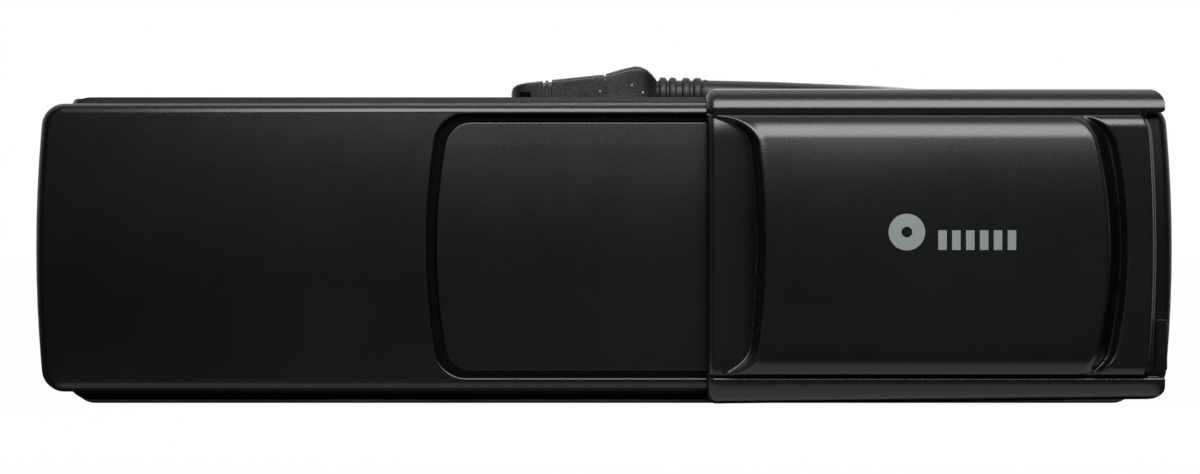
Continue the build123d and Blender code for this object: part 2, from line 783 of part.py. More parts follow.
sled_x0 = spindle_x - lens_r_in - 4.2
sled_x1 = sled_x0 + 17.0
well_x0 = spindle_x - lens_r_in - sled_travel - 4.2
with BuildPart() as playback_deck:
    with BuildSketch(Plane.XY.offset(deck_z)):
        span(lift_x0 + 0.6, lift_x1 - 1.0, -55.0, 70.0, 4)
    extrude(amount=deck_thick)
    # well through which the lens looks
    with BuildSketch(Plane.XY.offset(deck_z)):
        span(well_x0, sled_x1 + 0.5, spindle_y - 9, spindle_y + 9, 2)
        with Locations((spindle_x, spindle_y)):
            Circle(4.0)
    extrude(amount=deck_thick, mode=Mode.SUBTRACT)
    # blocks under the deck that hold the two rods
    rod_x0, rod_x1 = lift_x0 + 0.8, spindle_x - 6.0
    for y in (spindle_y - rod_y, spindle_y + rod_y):
        for x in (rod_x0, rod_x1):
            with BuildSketch(Plane.XY.offset(rod_z - rod_r - 0.8)):
                span(x - 0.2, x + 2.2, y - 2.6, y + 2.6)
            extrude(amount=deck_z - rod_z + rod_r + 0.8)
            with BuildSketch(Plane.YZ.offset(x - 0.3)):
                with Locations((y, rod_z)):
                    Circle(rod_r)
            extrude(amount=2.6, mode=Mode.SUBTRACT)
keep(playback_deck, "playback_deck")

with BuildPart() as sled_rods:
    with BuildSketch(Plane.YZ.offset(rod_x0)):
        with Locations((spindle_y - rod_y, rod_z), (spindle_y + rod_y, rod_z)):
            Circle(rod_r)
    extrude(amount=rod_x1 + 2.0 - rod_x0)
keep(sled_rods, "sled_rods")

with BuildPart() as spindle_motor:
    with BuildSketch(Plane.XY.offset(deck_z)):
        with Locations((spindle_x, spindle_y)):
            Circle(10.0)
    extrude(amount=-7.0)
    chamfer(spindle_motor.faces().sort_by(Axis.Z)[0].edges(), 0.8)
keep(spindle_motor, "spindle_motor")

with BuildPart() as turntable:
    with BuildSketch(Plane.XZ.offset(-spindle_y)):
        with BuildLine():
            Polyline(
                (spindle_x, deck_z + 0.2),
                (spindle_x + 1.2, deck_z + 0.2),
                (spindle_x + 1.2, deck_z + deck_thick + 0.4),
                (spindle_x + 14.0, deck_z + deck_thick + 0.4),
                (spindle_x + 14.0, deck_z + deck_thick + 2.0),
                (spindle_x + 7.4, deck_z + deck_thick + 2.0),
                (spindle_x + 7.0, deck_z + deck_thick + 3.6),
                (spindle_x + 4.5, deck_z + deck_thick + 4.9),
                (spindle_x, deck_z + deck_thick + 4.9),
                close=True,
            )
        make_face()
    revolve(axis=Axis((spindle_x, spindle_y, 0), (0, 0, 1)))
keep(turntable, "turntable")

rack_module = 0.8
sled_gear_teeth = 12
rack_back_y = spindle_y - rod_y - 2.9  # a hair inside the sled's own front face
gear_y = rack_y - rack_module * sled_gear_teeth / 2 - 0.12
with BuildPart() as sled:
    with BuildSketch(Plane.XY.offset(rod_z - 2.6)):
        span(sled_x0, sled_x1, spindle_y - rod_y - 3.0, spindle_y + rod_y + 3.0, 1.5)
    extrude(amount=5.2)
    for y in (spindle_y - rod_y, spindle_y + rod_y):
        with BuildSketch(Plane.YZ.offset(sled_x0 - 1)):
            with Locations((y, rod_z)):
                Circle(rod_r + 0.06)
        extrude(amount=sled_x1 - sled_x0 + 2, mode=Mode.SUBTRACT)
    # rack along the front side
    with BuildSketch(Plane.XY.offset(rod_z - 2.6)):
        with BuildLine():
            teeth = rack_outline(
                sled_gear_x - 4.0,
                sled_gear_x + sled_travel + 4.0,
                rack_y,
                rack_module,
                -1,
                sled_gear_x,
            )
            Polyline(
                *teeth,
                (sled_gear_x + sled_travel + 4.0, rack_back_y),
                (sled_gear_x - 4.0, rack_back_y),
                close=True,
            )
        make_face()
    extrude(amount=1.6)
keep(sled, "sled")

lens_x = spindle_x - lens_r_in
with BuildPart() as lens_holder:
    with BuildSketch(Plane.XY.offset(rod_z + 2.6)):
        with Locations((lens_x, spindle_y)):
            Circle(3.6)
    extrude(amount=2.2)
    chamfer(lens_holder.faces().sort_by(Axis.Z)[-1].edges(), 0.4)
    with BuildSketch(Plane.XY.offset(rod_z + 2.6)):
        with Locations((lens_x, spindle_y)):
            Circle(2.2)
    extrude(amount=2.2, mode=Mode.SUBTRACT)
keep(lens_holder, "lens_holder")

with BuildPart() as pickup_lens:
    with BuildSketch(Plane.XY.offset(rod_z + 3.4)):
        with Locations((lens_x, spindle_y)):
            Circle(2.2)
    extrude(amount=1.2)
    chamfer(pickup_lens.faces().sort_by(Axis.Z)[-1].edges(), 0.5)
keep(pickup_lens, "pickup_lens")

wheel_teeth, wheel_module = 36, 0.5
sled_pinion_teeth = 10
with BuildPart() as sled_gear:
    with BuildSketch(Plane((sled_gear_x, gear_y, rod_z - 2.9))):
        with BuildLine():
            facing = pi / 2 + pi / sled_gear_teeth
            Polyline(*gear_outline(sled_gear_teeth, rack_module, phase=facing), close=True)
        make_face()
    extrude(amount=2.4)
    with BuildSketch(Plane((sled_gear_x, gear_y, rod_z - 4.5))):
        with BuildLine():
            Polyline(*gear_outline(wheel_teeth, wheel_module, phase=pi / 2), close=True)
        make_face()
    extrude(amount=1.6)
    with BuildSketch(Plane.XY.offset(rod_z - 5)):
        with Locations((sled_gear_x, gear_y)):
            Circle(1.05)
    extrude(amount=5, mode=Mode.SUBTRACT)
keep(sled_gear, "sled_gear")

with BuildPart() as sled_gear_pin:
    with BuildSketch(Plane.XY.offset(deck_z)):
        with Locations((sled_gear_x, gear_y)):
            Circle(1.0)
    extrude(amount=-(deck_z - rod_z + 4.8))
    with BuildSketch(Plane.XY.offset(deck_z)):
        with Locations((sled_gear_x, gear_y)):
            Circle(2.0)
    extrude(amount=-(deck_z - rod_z - 0.2))
keep(sled_gear_pin, "sled_gear_pin")

sled_spread = wheel_module * (wheel_teeth + sled_pinion_teeth) / 2 + 0.1
sled_motor_y = gear_y - sled_spread
with BuildPart() as sled_motor:
    with BuildSketch(Plane.XY.offset(deck_z)):
        with Locations((sled_gear_x, sled_motor_y)):
            Circle(5.0)
    extrude(amount=-(deck_z - rod_z + 2.4))
keep(sled_motor, "sled_motor")

with BuildPart() as sled_pinion:
    with BuildSketch(Plane((sled_gear_x, sled_motor_y, rod_z - 4.5))):
        with BuildLine():
            facing = pi / 2 + pi / sled_pinion_teeth
            Polyline(*gear_outline(sled_pinion_teeth, wheel_module, phase=facing), close=True)
        make_face()
    extrude(amount=1.6)
    with BuildSketch(Plane.XY.offset(rod_z - 4.5)):
        with Locations((sled_gear_x, sled_motor_y)):
            Circle(0.7)
    extrude(amount=2.1)
keep(sled_pinion, "sled_pinion")

clamp_z = 23.4
with BuildPart() as clamp_arm:
    with BuildSketch(Plane.XY.offset(clamp_z)):
        with BuildLine():
            Polyline(
                (spindle_x - 11.5, pivot_y),
                (spindle_x + 11.5, pivot_y),
                (spindle_x + 8.0, spindle_y),
                (spindle_x - 8.0, spindle_y),
                close=True,
            )
        make_face()
        with Locations((spindle_x, spindle_y)):
            Circle(10)
        with Locations((spindle_x, spindle_y + 40)):
            SlotOverall(30, 8, rotation=90, mode=Mode.SUBTRACT)
        with Locations((spindle_x, spindle_y)):
            Circle(3.2, mode=Mode.SUBTRACT)
    extrude(amount=1.0)
    with BuildSketch(Plane.YZ.offset(spindle_x - 11.5)):
        with Locations((pivot_y, pivot_z)):
            Circle(1.9)
    extrude(amount=23.0)
    with BuildSketch(Plane.YZ.offset(spindle_x - 12)):
        with Locations((pivot_y, pivot_z)):
            Circle(1.25)
    extrude(amount=24.0, mode=Mode.SUBTRACT)
keep(clamp_arm, "clamp_arm")

with BuildPart() as clamp_pivot:
    with BuildSketch(Plane.YZ.offset(ear_xs[0] - 0.6)):
        with Locations((pivot_y, pivot_z)):
            Circle(1.2)
    extrude(amount=ear_xs[1] + 1.8 - ear_xs[0] + 0.6)
keep(clamp_pivot, "clamp_pivot")

with BuildPart() as clamp_puck:
    with BuildSketch(Plane.XZ.offset(-spindle_y)):
        with BuildLine():
            Polyline(
                (spindle_x, clamp_z - 2.4),
                (spindle_x + 11.0, clamp_z - 2.4),
                (spindle_x + 12.0, clamp_z - 1.4),
                (spindle_x + 12.0, clamp_z - 0.2),
                (spindle_x + 3.0, clamp_z - 0.2),
                (spindle_x + 3.0, clamp_z + 1.2),
                (spindle_x, clamp_z + 1.2),
                close=True,
            )
        make_face()
    revolve(axis=Axis((spindle_x, spindle_y, 0), (0, 0, 1)))
keep(clamp_puck, "clamp_puck")

# ======== angle dial ========

dial_thick = 2.4
with BuildPart() as angle_dial:
    with BuildSketch(Plane.YZ.offset(-chassis_half - 0.3)):
        with Locations((dial_y, dial_z)):
            Circle(dial_r)
    extrude(amount=dial_thick)
    with BuildSketch(Plane.YZ.offset(-chassis_half + sheet + 0.2)):
        with Locations((dial_y, dial_z)):
            Circle(dial_r + 1.5)
    extrude(amount=dial_thick - sheet - 0.5)
    with BuildSketch(Plane.YZ.offset(-chassis_half - 0.3)):
        with Locations((dial_y, dial_z)):
            SlotOverall(12, 1.8)
    extrude(amount=1.0, mode=Mode.SUBTRACT)
keep(angle_dial, "angle_dial")

# ======== electronics ========

board_x0, board_x1 = 8.0, 106.0
board_y0, board_y1 = -46.0, 60.0
board_z, board_thick = 5.0, 1.6
standoff_xy = [(12, -42), (102, -42), (12, 56), (102, 56)]
with BuildPart() as main_board:
    with BuildSketch(Plane.XY.offset(board_z)):
        span(board_x0, board_x1, board_y0, board_y1, 1.5)
    extrude(amount=board_thick)
keep(main_board, "main_board")

with BuildPart() as board_standoffs:
    with BuildSketch(Plane.XY.offset(sheet)):
        with Locations(*standoff_xy):
            Circle(3)
    extrude(amount=board_z - sheet)
keep(board_standoffs, "board_standoffs")

with BuildPart() as board_parts:
    with BuildSketch(Plane.XY.offset(board_z + board_thick)):
        with Locations((36, 4), (66, -12)):
            Rectangle(16, 16)
        with Locations((80, 30), (40, 40), (24, -24)):
            Rectangle(8, 12)
    extrude(amount=1.8)
    with BuildSketch(Plane.XY.offset(board_z + board_thick)):
        with Locations((92, 8), (92, -6), (56, 34), (60, 46)):
            Circle(3.1)
    extrude(amount=5.6)
keep(board_parts, "board_parts")

# ======== lead ========

with BuildPart() as strain_relief:
    with BuildSketch(Plane(origin=(relief_x, 0, relief_z), x_dir=(1, 0, 0), z_dir=(0, 0, 1))):
        with BuildLine():
            wall_in = chassis_back - sheet
            Polyline(
                (0, wall_in - 2.4),
                (lead_d / 2 + 3.0, wall_in - 2.4),
                (lead_d / 2 + 3.0, wall_in),
                (lead_d / 2 + 1.6, wall_in),
                (lead_d / 2 + 1.6, chassis_back),
                (lead_d / 2 + 3.2, chassis_back),
                (lead_d / 2 + 3.2, chassis_back + 2.6),
                (lead_d / 2 + 2.0, chassis_back + 3.4),
                (lead_d / 2 + 0.7, chassis_back + relief_len),
                (0, chassis_back + relief_len),
                close=True,
            )
        make_face()
    revolve(axis=Axis((relief_x, 0, relief_z), (0, 1, 0)))
keep(strain_relief, "strain_relief")


def lead_path(points, share=0.45):
    """Straight runs joined by the largest arcs that the runs allow. Prints the radii."""
    vectors = [Vector(*p) for p in points]
    radii = []
    for a, b, c in zip(vectors, vectors[1:], vectors[2:]):
        half_turn = radians((b - a).get_angle(c - b)) / 2
        radii.append(share * min((b - a).length, (c - b).length) / tan(half_turn))
    print("lead radii", [round(r, 1) for r in radii])
    return FilletPolyline(*points, radius=radii)


with BuildPart() as lead:
    with BuildLine():
        path = lead_path(lead_route)
    with BuildSketch(Plane(origin=path @ 0, z_dir=path % 0)):
        Circle(lead_d / 2)
    sweep()
print("lead length", round(path.length, 1), "volume share", lead.part.volume / (path.length * pi * (lead_d / 2) ** 2))
keep(lead, "lead")

boot_x0, boot_x1 = 12.9, 25.3
boot_z = lead_route[-1][2]
with BuildPart() as plug_boot:
    with BuildSketch(Plane.YZ.offset(boot_x0)):
        with Locations((plug_y, boot_z)):
            Circle(3.5)
    extrude(amount=boot_x1 - boot_x0)
    for x in (14.9, 17.4, 20.4, 23.2):
        with BuildSketch(Plane.YZ.offset(x - 0.7)):
            with Locations((plug_y, boot_z)):
                Circle(3.85)
        extrude(amount=1.4)
keep(plug_boot, "plug_boot")

plug_base = cover_top + running
with BuildPart() as lead_plug:
    with BuildSketch(Plane.XY.offset(plug_base)):
        with BuildLine():
            Line((boot_x0, plug_y - 6.0), (boot_x0, plug_y + 6.0))
            Line((boot_x0, plug_y + 6.0), (-14.0, plug_y + 9.0))
            ThreePointArc((-14.0, plug_y + 9.0), (-22.6, plug_y), (-14.0, plug_y - 9.0))
            Line((-14.0, plug_y - 9.0), (boot_x0, plug_y - 6.0))
        make_face()
    extrude(amount=11)
    # the top falls from the boot's end towards the nose
    with BuildSketch(across(plug_y + 12)):
        with BuildLine():
            Polyline(
                (-30, plug_base + 5.4),
                (-20, plug_base + 6.2),
                (0.2, plug_base + 8.0),
                (8.6, plug_base + 10.0),
                (boot_x0 + 1, plug_base + 7.6),
                (boot_x0 + 1, plug_base + 14),
                (-30, plug_base + 14),
                close=True,
            )
        make_face()
    extrude(amount=24, mode=Mode.SUBTRACT)
keep(lead_plug, "lead_plug")
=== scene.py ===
"""Looks of the car CD changer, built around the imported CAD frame.

Metres, in the frame of the CAD part: +X to the right seen from the front, +Y to the back, +Z up.
Sizes in the classes below are millimetres and become metres where a mesh is made.
"""

import logging
import math
from dataclasses import dataclass
from enum import Enum
from typing import Iterable, Sequence

import bmesh
import bpy
from mathutils import Matrix, Vector


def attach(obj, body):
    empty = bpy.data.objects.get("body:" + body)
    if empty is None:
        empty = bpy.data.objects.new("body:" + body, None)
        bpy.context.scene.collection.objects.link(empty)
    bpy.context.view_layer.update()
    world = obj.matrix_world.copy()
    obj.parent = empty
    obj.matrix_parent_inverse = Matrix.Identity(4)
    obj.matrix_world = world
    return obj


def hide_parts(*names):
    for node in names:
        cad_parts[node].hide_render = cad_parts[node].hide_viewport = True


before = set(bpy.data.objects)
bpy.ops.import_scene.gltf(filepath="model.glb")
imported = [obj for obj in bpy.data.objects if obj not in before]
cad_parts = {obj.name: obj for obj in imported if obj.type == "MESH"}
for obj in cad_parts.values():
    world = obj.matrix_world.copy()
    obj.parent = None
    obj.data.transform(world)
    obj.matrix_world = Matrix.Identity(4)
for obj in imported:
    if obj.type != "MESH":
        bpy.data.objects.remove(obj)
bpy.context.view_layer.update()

log = logging.getLogger("changer")

MM = 0.001
WELD = 0.0005  # millimetres within which vertices become one
TRACE_PITCH = 7.0  # millimetres between the copper lines' repeats
WHITE = (1.0, 1.0, 1.0, 1.0)

Point = tuple[float, float, float]
Table = Sequence[tuple[float, float]]
Work = bmesh.types.BMesh
Edges = list[bmesh.types.BMEdge]
Piece = bpy.types.Object
Tree = bpy.types.NodeTree
Socket = bpy.types.NodeSocket


# ---- small helpers


def clamp(value: float, low: float = 0.0, high: float = 1.0) -> float:
    """Returns value kept between low and high."""
    return max(low, min(high, value))


def smooth(value: float, low: float, high: float) -> float:
    """Eased step.

    Args:
        value: where to read the step.
        low: the value below which it is 0.
        high: the value above which it is 1.

    Returns:
        0 to 1, with level ends.
    """
    t = clamp((value - low) / (high - low))
    return t * t * (3.0 - 2.0 * t)


def read(table: Table, at: float) -> float:
    """Reads a table with straight lines between its rows.

    Args:
        table: (place, value) rows, in rising order.
        at: the place to read.

    Returns:
        The value there.
    """
    if at <= table[0][0]:
        return table[0][1]
    for (a, va), (b, vb) in zip(table, table[1:]):
        if at <= b:
            return va + (vb - va) * (at - a) / (b - a)
    return table[-1][1]


def linear(code: str) -> tuple[float, float, float, float]:
    """Turns an sRGB hex colour, as a designer writes it, into the shader's linear light."""
    shades = [int(code[i : i + 2], 16) / 255 for i in (1, 3, 5)]
    light = [s / 12.92 if s <= 0.04045 else ((s + 0.055) / 1.055) ** 2.4 for s in shades]
    return (*light, 1.0)


# ---- finishes


def clear_tree(owner: bpy.types.Material | bpy.types.World) -> Tree:
    """Turns nodes on for a material or world and returns its emptied tree."""
    owner.use_nodes = True
    owner.node_tree.nodes.clear()
    return owner.node_tree


def add_node(
    tree: Tree, kind: str, sockets: dict[str | int, object], **settings: object
) -> bpy.types.Node:
    """Adds a shader node, sets it and links it.

    Args:
        tree: the node tree.
        kind: the node's type name, without the start that all of them share.
        sockets: input values, or output sockets to link from.
        settings: attributes of the node itself.

    Returns:
        The new node.
    """
    node = tree.nodes.new("ShaderNode" + kind)
    for key, value in settings.items():
        setattr(node, key, value)
    for key, value in sockets.items():
        if isinstance(value, Socket):
            tree.links.new(value, node.inputs[key])
        else:
            node.inputs[key].default_value = value
    return node


def combine(tree: Tree, operation: str, *values: float | Socket) -> Socket:
    """Adds a math node over the values and returns its result."""
    return add_node(tree, "Math", dict(enumerate(values)), operation=operation).outputs[0]


def remap(
    tree: Tree, value: Socket, start: float, end: float, low: float = 0.0, high: float = 1.0,
    **settings: str,
) -> Socket:
    """Adds a node that takes start and end to low and high, and returns its result."""
    sockets = {"Value": value, "From Min": start, "From Max": end, "To Min": low, "To Max": high}
    return add_node(tree, "MapRange", sockets, **settings).outputs[0]


def noise(tree: Tree, place: Socket, size: float, detail: float, roughness: float) -> Socket:
    """Adds noise with marks of size millimetres and returns it."""
    sockets = {"Vector": place, "Scale": 1 / (size * MM), "Detail": detail, "Roughness": roughness}
    return add_node(tree, "TexNoise", sockets).outputs["Fac"]


def blend(tree: Tree, share: float | Socket, first: object, second: object) -> Socket:
    """Mixes two colours by share and returns the result."""
    return add_node(tree, "Mix", {0: share, 6: first, 7: second}, data_type="RGBA").outputs[2]


class Working(Enum):
    """How a surface was made; a board also gets its copper lines."""

    MOULDED = "even spark-eroded grain"
    BRUSHED = "fine lines along one direction"
    POWDERED = "orange peel of baked powder"
    BOARD = "solder mask over copper lines"


@dataclass(frozen=True)
class Finish:
    """One real finish.

    Args:
        title: the material's common name.
        shade: its colour as sRGB hex.
        second: the colour it drifts to in large soft patches.
        roughness: the middle of its roughness.
        spread: how far the roughness wanders either side.
        metallic: 1 for bare metal.
        working: how the surface was made.
        grain: size of the finest marks, in millimetres.
        depth: how strong the marks are as bump, in millimetres.
        patch: size of the soft patches, in millimetres.
        stretch: how much longer than wide the marks are on each axis.
        ior: index of refraction, for what isn't metal.
        coat: weight of a clear top layer.
        sheen: weight of dust-like sheen, for rubber.
        clear: how much light goes through, for glass and clear plastic.
    """

    title: str
    shade: str
    second: str
    roughness: float
    spread: float = 0.06
    metallic: float = 0.0
    working: Working = Working.MOULDED
    grain: float = 0.35
    depth: float = 0.01
    patch: float = 28.0
    stretch: Point = (1.0, 1.0, 1.0)
    ior: float = 1.5
    coat: float = 0.0
    sheen: float = 0.0
    clear: float = 0.0

    def material(self) -> bpy.types.Material:
        """Builds the node material once and returns it each time it is asked for."""
        made = bpy.data.materials.get(self.title)
        if made:
            return made
        made = bpy.data.materials.new(self.title)
        tree = clear_tree(made)
        place = add_node(tree, "TexCoord", {}).outputs["Object"]
        scale = [1 / s for s in self.stretch]
        sized = add_node(tree, "Mapping", {"Vector": place, "Scale": scale}).outputs["Vector"]
        fine = noise(tree, sized, self.grain, 2.0, 0.6)
        soft = noise(tree, place, self.patch, 3.0, 0.55)
        low, high = self.roughness - self.spread, self.roughness + self.spread
        marks = {"Height": fine, "Distance": self.depth * MM, "Strength": 1.0}
        sockets = {
            "Base Color": self._tint(tree, place, soft),
            "Roughness": remap(tree, combine(tree, "ADD", soft, fine), 0.7, 1.3, low, high),
            "Normal": add_node(tree, "Bump", marks).outputs["Normal"],
            "Metallic": self.metallic,
            "IOR": self.ior,
            "Coat Weight": self.coat,
            "Sheen Weight": self.sheen,
            "Transmission Weight": self.clear,
        }
        shader = add_node(tree, "BsdfPrincipled", sockets)
        add_node(tree, "OutputMaterial", {"Surface": shader.outputs[0]})
        return made

    def _tint(self, tree: Tree, place: Socket, soft: Socket) -> Socket:
        """Mixes the two shades in soft patches, and adds copper lines on a board.

        Args:
            tree: the material's node tree.
            place: object coordinates in metres.
            soft: the large noise.

        Returns:
            The colour socket.
        """
        first, second = linear(self.shade), linear(self.second)
        tint = blend(tree, remap(tree, soft, 0.32, 0.68), first, second)
        if self.working is not Working.BOARD:
            return tint
        sockets = {
            "Vector": place,
            "Scale": 1 / (TRACE_PITCH * MM),
            "Color1": first,
            "Color2": second,
            "Mortar": linear("#5f9a55"),
            "Mortar Size": 0.045,
            "Brick Width": 1.3,
            "Row Height": 0.4,
        }
        lines = add_node(tree, "TexBrick", sockets, offset=0.37, squash=1.6, squash_frequency=3)
        return blend(tree, 0.8, tint, lines.outputs["Color"])


# A spark-eroded mould leaves pits of about 0.1 mm, drawn at 0.35 mm so that they show.
FINISHES: dict[str, Finish] = {
    # ABS from a finely eroded mould: satin, nearly black, evenly grained
    "black_plastic": Finish(
        "satin black ABS", "#060606", "#090909", 0.28, spread=0.02, depth=0.007
    ),
    # polyester powder on sheet steel: a soft orange peel about 1.2 mm across
    "black_steel": Finish(
        "black powder coated steel", "#1b1b1c", "#202021", 0.5,
        working=Working.POWDERED, grain=1.2, depth=0.02,
    ),
    # bright zinc on cold rolled sheet: grey, with the rolling lines along the front
    "plated_steel": Finish(
        "zinc plated sheet steel", "#b9bcb8", "#a6aaa8", 0.36, spread=0.1, metallic=1.0,
        working=Working.BRUSHED, grain=0.4, depth=0.003, stretch=(14.0, 1.0, 1.0),
    ),
    # black oxide: thin, slightly blue, with the turned metal underneath
    "screw_steel": Finish(
        "black oxide steel", "#2b2c30", "#3a3a3d", 0.34, metallic=1.0, grain=0.25, depth=0.004
    ),
    # ground bar: bright, with fine rings round it
    "bright_steel": Finish(
        "ground steel", "#c8c9c9", "#b4b6b7", 0.22, metallic=1.0,
        working=Working.BRUSHED, grain=0.3, depth=0.002, stretch=(1.0, 9.0, 1.0),
    ),
    # deep drawn steel can, nickel plated: long streaks along the draw
    "motor_can": Finish(
        "drawn nickel plated can", "#a9a8a2", "#8f8f8b", 0.3, metallic=1.0,
        working=Working.BRUSHED, grain=0.35, depth=0.003, stretch=(1.0, 1.0, 8.0),
    ),
    # solder mask on glass fibre board, with copper lines 0.3 mm wide under it
    "circuit_board": Finish(
        "green circuit board", "#12502a", "#0e4424", 0.32,
        working=Working.BOARD, grain=0.5, depth=0.01, coat=0.4,
    ),
    # moulded epoxy packages: dull and slightly gritty
    "chip_black": Finish("moulded epoxy", "#19191a", "#232324", 0.62, grain=0.25, depth=0.01),
    # moulded rubber: soft, dull, with a faint bloom
    "black_rubber": Finish(
        "black moulded rubber", "#101110", "#161714", 0.5, grain=0.4, depth=0.012, sheen=0.02
    ),
    # plasticised PVC over the lead: smooth, a little shinier than the rubber
    "lead_jacket": Finish(
        "black PVC jacket", "#121212", "#181818", 0.42, grain=0.8, depth=0.01, patch=9.0
    ),
    # plug shell: dark grey-green glass-filled nylon, satin
    "plug_plastic": Finish(
        "dark grey moulded nylon", "#151713", "#1c1e1a", 0.27, grain=0.3, depth=0.012, patch=8.0
    ),
    "grey_plastic": Finish("dark grey ABS", "#4b4b4e", "#444447", 0.45, depth=0.01),
    # deck: glass-filled, with flow marks
    "deck_plastic": Finish("glass filled black ABS", "#2c2c2e", "#3a3a3b", 0.5, patch=12.0),
    "white_acetal": Finish(
        "white acetal", "#e2e0d8", "#d9d7cd", 0.33, grain=0.5, depth=0.004, ior=1.48
    ),
    # brass hobbed gear: warm, with fine tool lines
    "brass_gear": Finish(
        "machined brass", "#c9a55c", "#b8924a", 0.3, metallic=1.0, grain=0.25, depth=0.004
    ),
    "lens_glass": Finish(
        "coated acrylic lens", "#9fb6d8", "#8ea6cf", 0.06, spread=0.02,
        grain=0.6, depth=0.001, clear=0.7, coat=1.0, ior=1.49,
    ),
    "tray_plastic": Finish("light grey polystyrene", "#a9aaab", "#9fa1a2", 0.4, depth=0.006),
    # the ring behind the bezel comes from a coarser mould
    "ring_plastic": Finish("coarse black ABS", "#0a0a0a", "#0d0d0d", 0.5, depth=0.02, ior=1.3),
    # near-black felt, painted shade: the strip in the gap round the sliding leaf and the dark block
    # in the plug's window hole; it swallows nearly all light
    "black_felt": Finish("painted shade felt", "#050505", "#080808", 0.95, grain=0.2, depth=0.05, ior=1.12),
    "label_foil": Finish("bare silver label", "#8f9193", "#888a8c", 0.5, depth=0.002),
    "print_ink": Finish("pale grey pad print", "#727a7a", "#6c7474", 0.55, grain=0.3, depth=0.004),
}


# ---- mesh helpers


def add_object(name: str, data: bpy.types.ID) -> Piece:
    """Makes an object of the given data and puts it into the scene."""
    made = bpy.data.objects.new(name, data)
    bpy.context.scene.collection.objects.link(made)
    return made


def to_data(work: Work, name: str) -> bpy.types.Mesh:
    """Turns a bmesh into mesh data and frees it."""
    data = bpy.data.meshes.new(name)
    work.to_mesh(data)
    work.free()
    return data


def publish(
    work: Work,
    name: str,
    body: str,
    slot: str,
    replaces: Iterable[str] = (),
    sharp_deg: float = 34.0,
    finish: str | None = None,
) -> Piece:
    """Turns a finished bmesh into a piece of the model.

    Args:
        work: the shape, in millimetres.
        name: the piece's name.
        body: the body that it rides on.
        slot: the material slot whose finish it gets when no other is given.
        replaces: CAD nodes that it stands for.
        sharp_deg: edges that turn by more than this stay crisp.
        finish: a finish other than the slot's own.

    Returns:
        The new object.
    """
    bmesh.ops.remove_doubles(work, verts=work.verts, dist=WELD)
    bmesh.ops.recalc_face_normals(work, faces=work.faces)
    for face in work.faces:
        face.smooth = True
    for edge in work.edges:
        if len(edge.link_faces) == 2 and edge.calc_face_angle(0.0) > math.radians(sharp_deg):
            edge.smooth = False
    bmesh.ops.scale(work, vec=(MM, MM, MM), verts=work.verts)
    data = to_data(work, name)
    piece = add_object(name, data)
    data.materials.append(FINISHES[finish or slot].material())
    even = piece.modifiers.new("even shading", "WEIGHTED_NORMAL")
    even.keep_sharp = True
    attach(piece, body)
    if replaces:
        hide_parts(*replaces)
    log.info("%s: %d faces on %s", name, len(data.polygons), body)
    return piece


@dataclass(frozen=True)
class Outline:
    """A rounded outline in X and Z whose ends may bow outwards, in millimetres."""

    x0: float
    x1: float
    z0: float
    z1: float
    radius: float
    bow_left: float = 0.0
    bow_right: float = 0.0

    def grown(self, by: float) -> "Outline":
        """Returns the outline moved outwards by a distance, or inwards by a negative one."""
        return Outline(
            self.x0 - by,
            self.x1 + by,
            self.z0 - by,
            self.z1 + by,
            max(0.15, self.radius + by),
            self.bow_left,
            self.bow_right,
        )


END_CUTS = 9
CORNER_STEPS = 10
# the bowed front: the middle of its height, half its height, and how far its edges go back
FACE_MIDDLE = 35.4
FACE_HALF = 32.5
FRONT_SAG = 1.1
LEAF_SAG = 1.5


def bevel(work: Work, geom: list, size: float, steps: int, affect: str) -> None:
    """Rounds corners or edges by size millimetres."""
    bmesh.ops.bevel(
        work, geom=geom, offset=size, offset_type="OFFSET", affect=affect, segments=steps,
        profile=0.5, material=-1, clamp_overlap=False,
    )


def ring(work: Work, shape: Outline, y: float) -> Edges:
    """Adds one closed outline, square to Y.

    Args:
        work: the bmesh, which must hold no face yet.
        shape: the outline.
        y: its place along Y, in millimetres.

    Returns:
        The outline's edges.
    """
    left, right = shape.x0 + shape.bow_left, shape.x1 - shape.bow_right
    places = ((left, shape.z0), (right, shape.z0), (right, shape.z1), (left, shape.z1))
    plate = work.faces.new([work.verts.new((x, y, z)) for x, z in places])
    ends = [e for e in plate.edges if abs(e.verts[0].co.x - e.verts[1].co.x) < 1e-6]
    bmesh.ops.bisect_edges(work, edges=ends, cuts=END_CUTS)
    mid, half = (shape.z0 + shape.z1) / 2, (shape.z1 - shape.z0) / 2
    work.faces.ensure_lookup_table()
    plate = work.faces[0]
    # the vertices hold 32-bit numbers, so a corner's height is met only nearly
    corners = [v for v in plate.verts if half - abs(v.co.z - mid) < 1e-3]
    for vert in plate.verts:
        bulge = 1.0 - ((vert.co.z - mid) / half) ** 2
        at_left = vert.co.x < (shape.x0 + shape.x1) / 2
        vert.co.x += -shape.bow_left * bulge if at_left else shape.bow_right * bulge
    bevel(work, corners, shape.radius, CORNER_STEPS, "VERTICES")
    work.faces.ensure_lookup_table()
    edges = list(work.faces[0].edges)
    bmesh.ops.delete(work, geom=list(work.faces), context="FACES_ONLY")
    return edges


def bridge(work: Work, loops: Sequence[Edges], close: bool = False) -> None:
    """Joins loops of edges one after another.

    Args:
        work: the shape.
        loops: the loops, in order along the surface.
        close: whether the last one joins the first again.
    """
    pairs = list(zip(loops, loops[1:]))
    if close:
        pairs.append((loops[-1], loops[0]))
    for a, b in pairs:
        bmesh.ops.bridge_loops(work, edges=a + b)


def stack(
    work: Work, layers: Sequence[tuple[Outline, float]], close: bool = False
) -> list[Edges]:
    """Joins outlines one after another into a wall.

    Args:
        work: an empty bmesh.
        layers: (outline, y) pairs, in order along the surface.
        close: whether the last layer joins the first again.

    Returns:
        Each layer's edges.
    """
    loops = [ring(work, shape, y) for shape, y in layers]
    bridge(work, loops, close)
    return loops


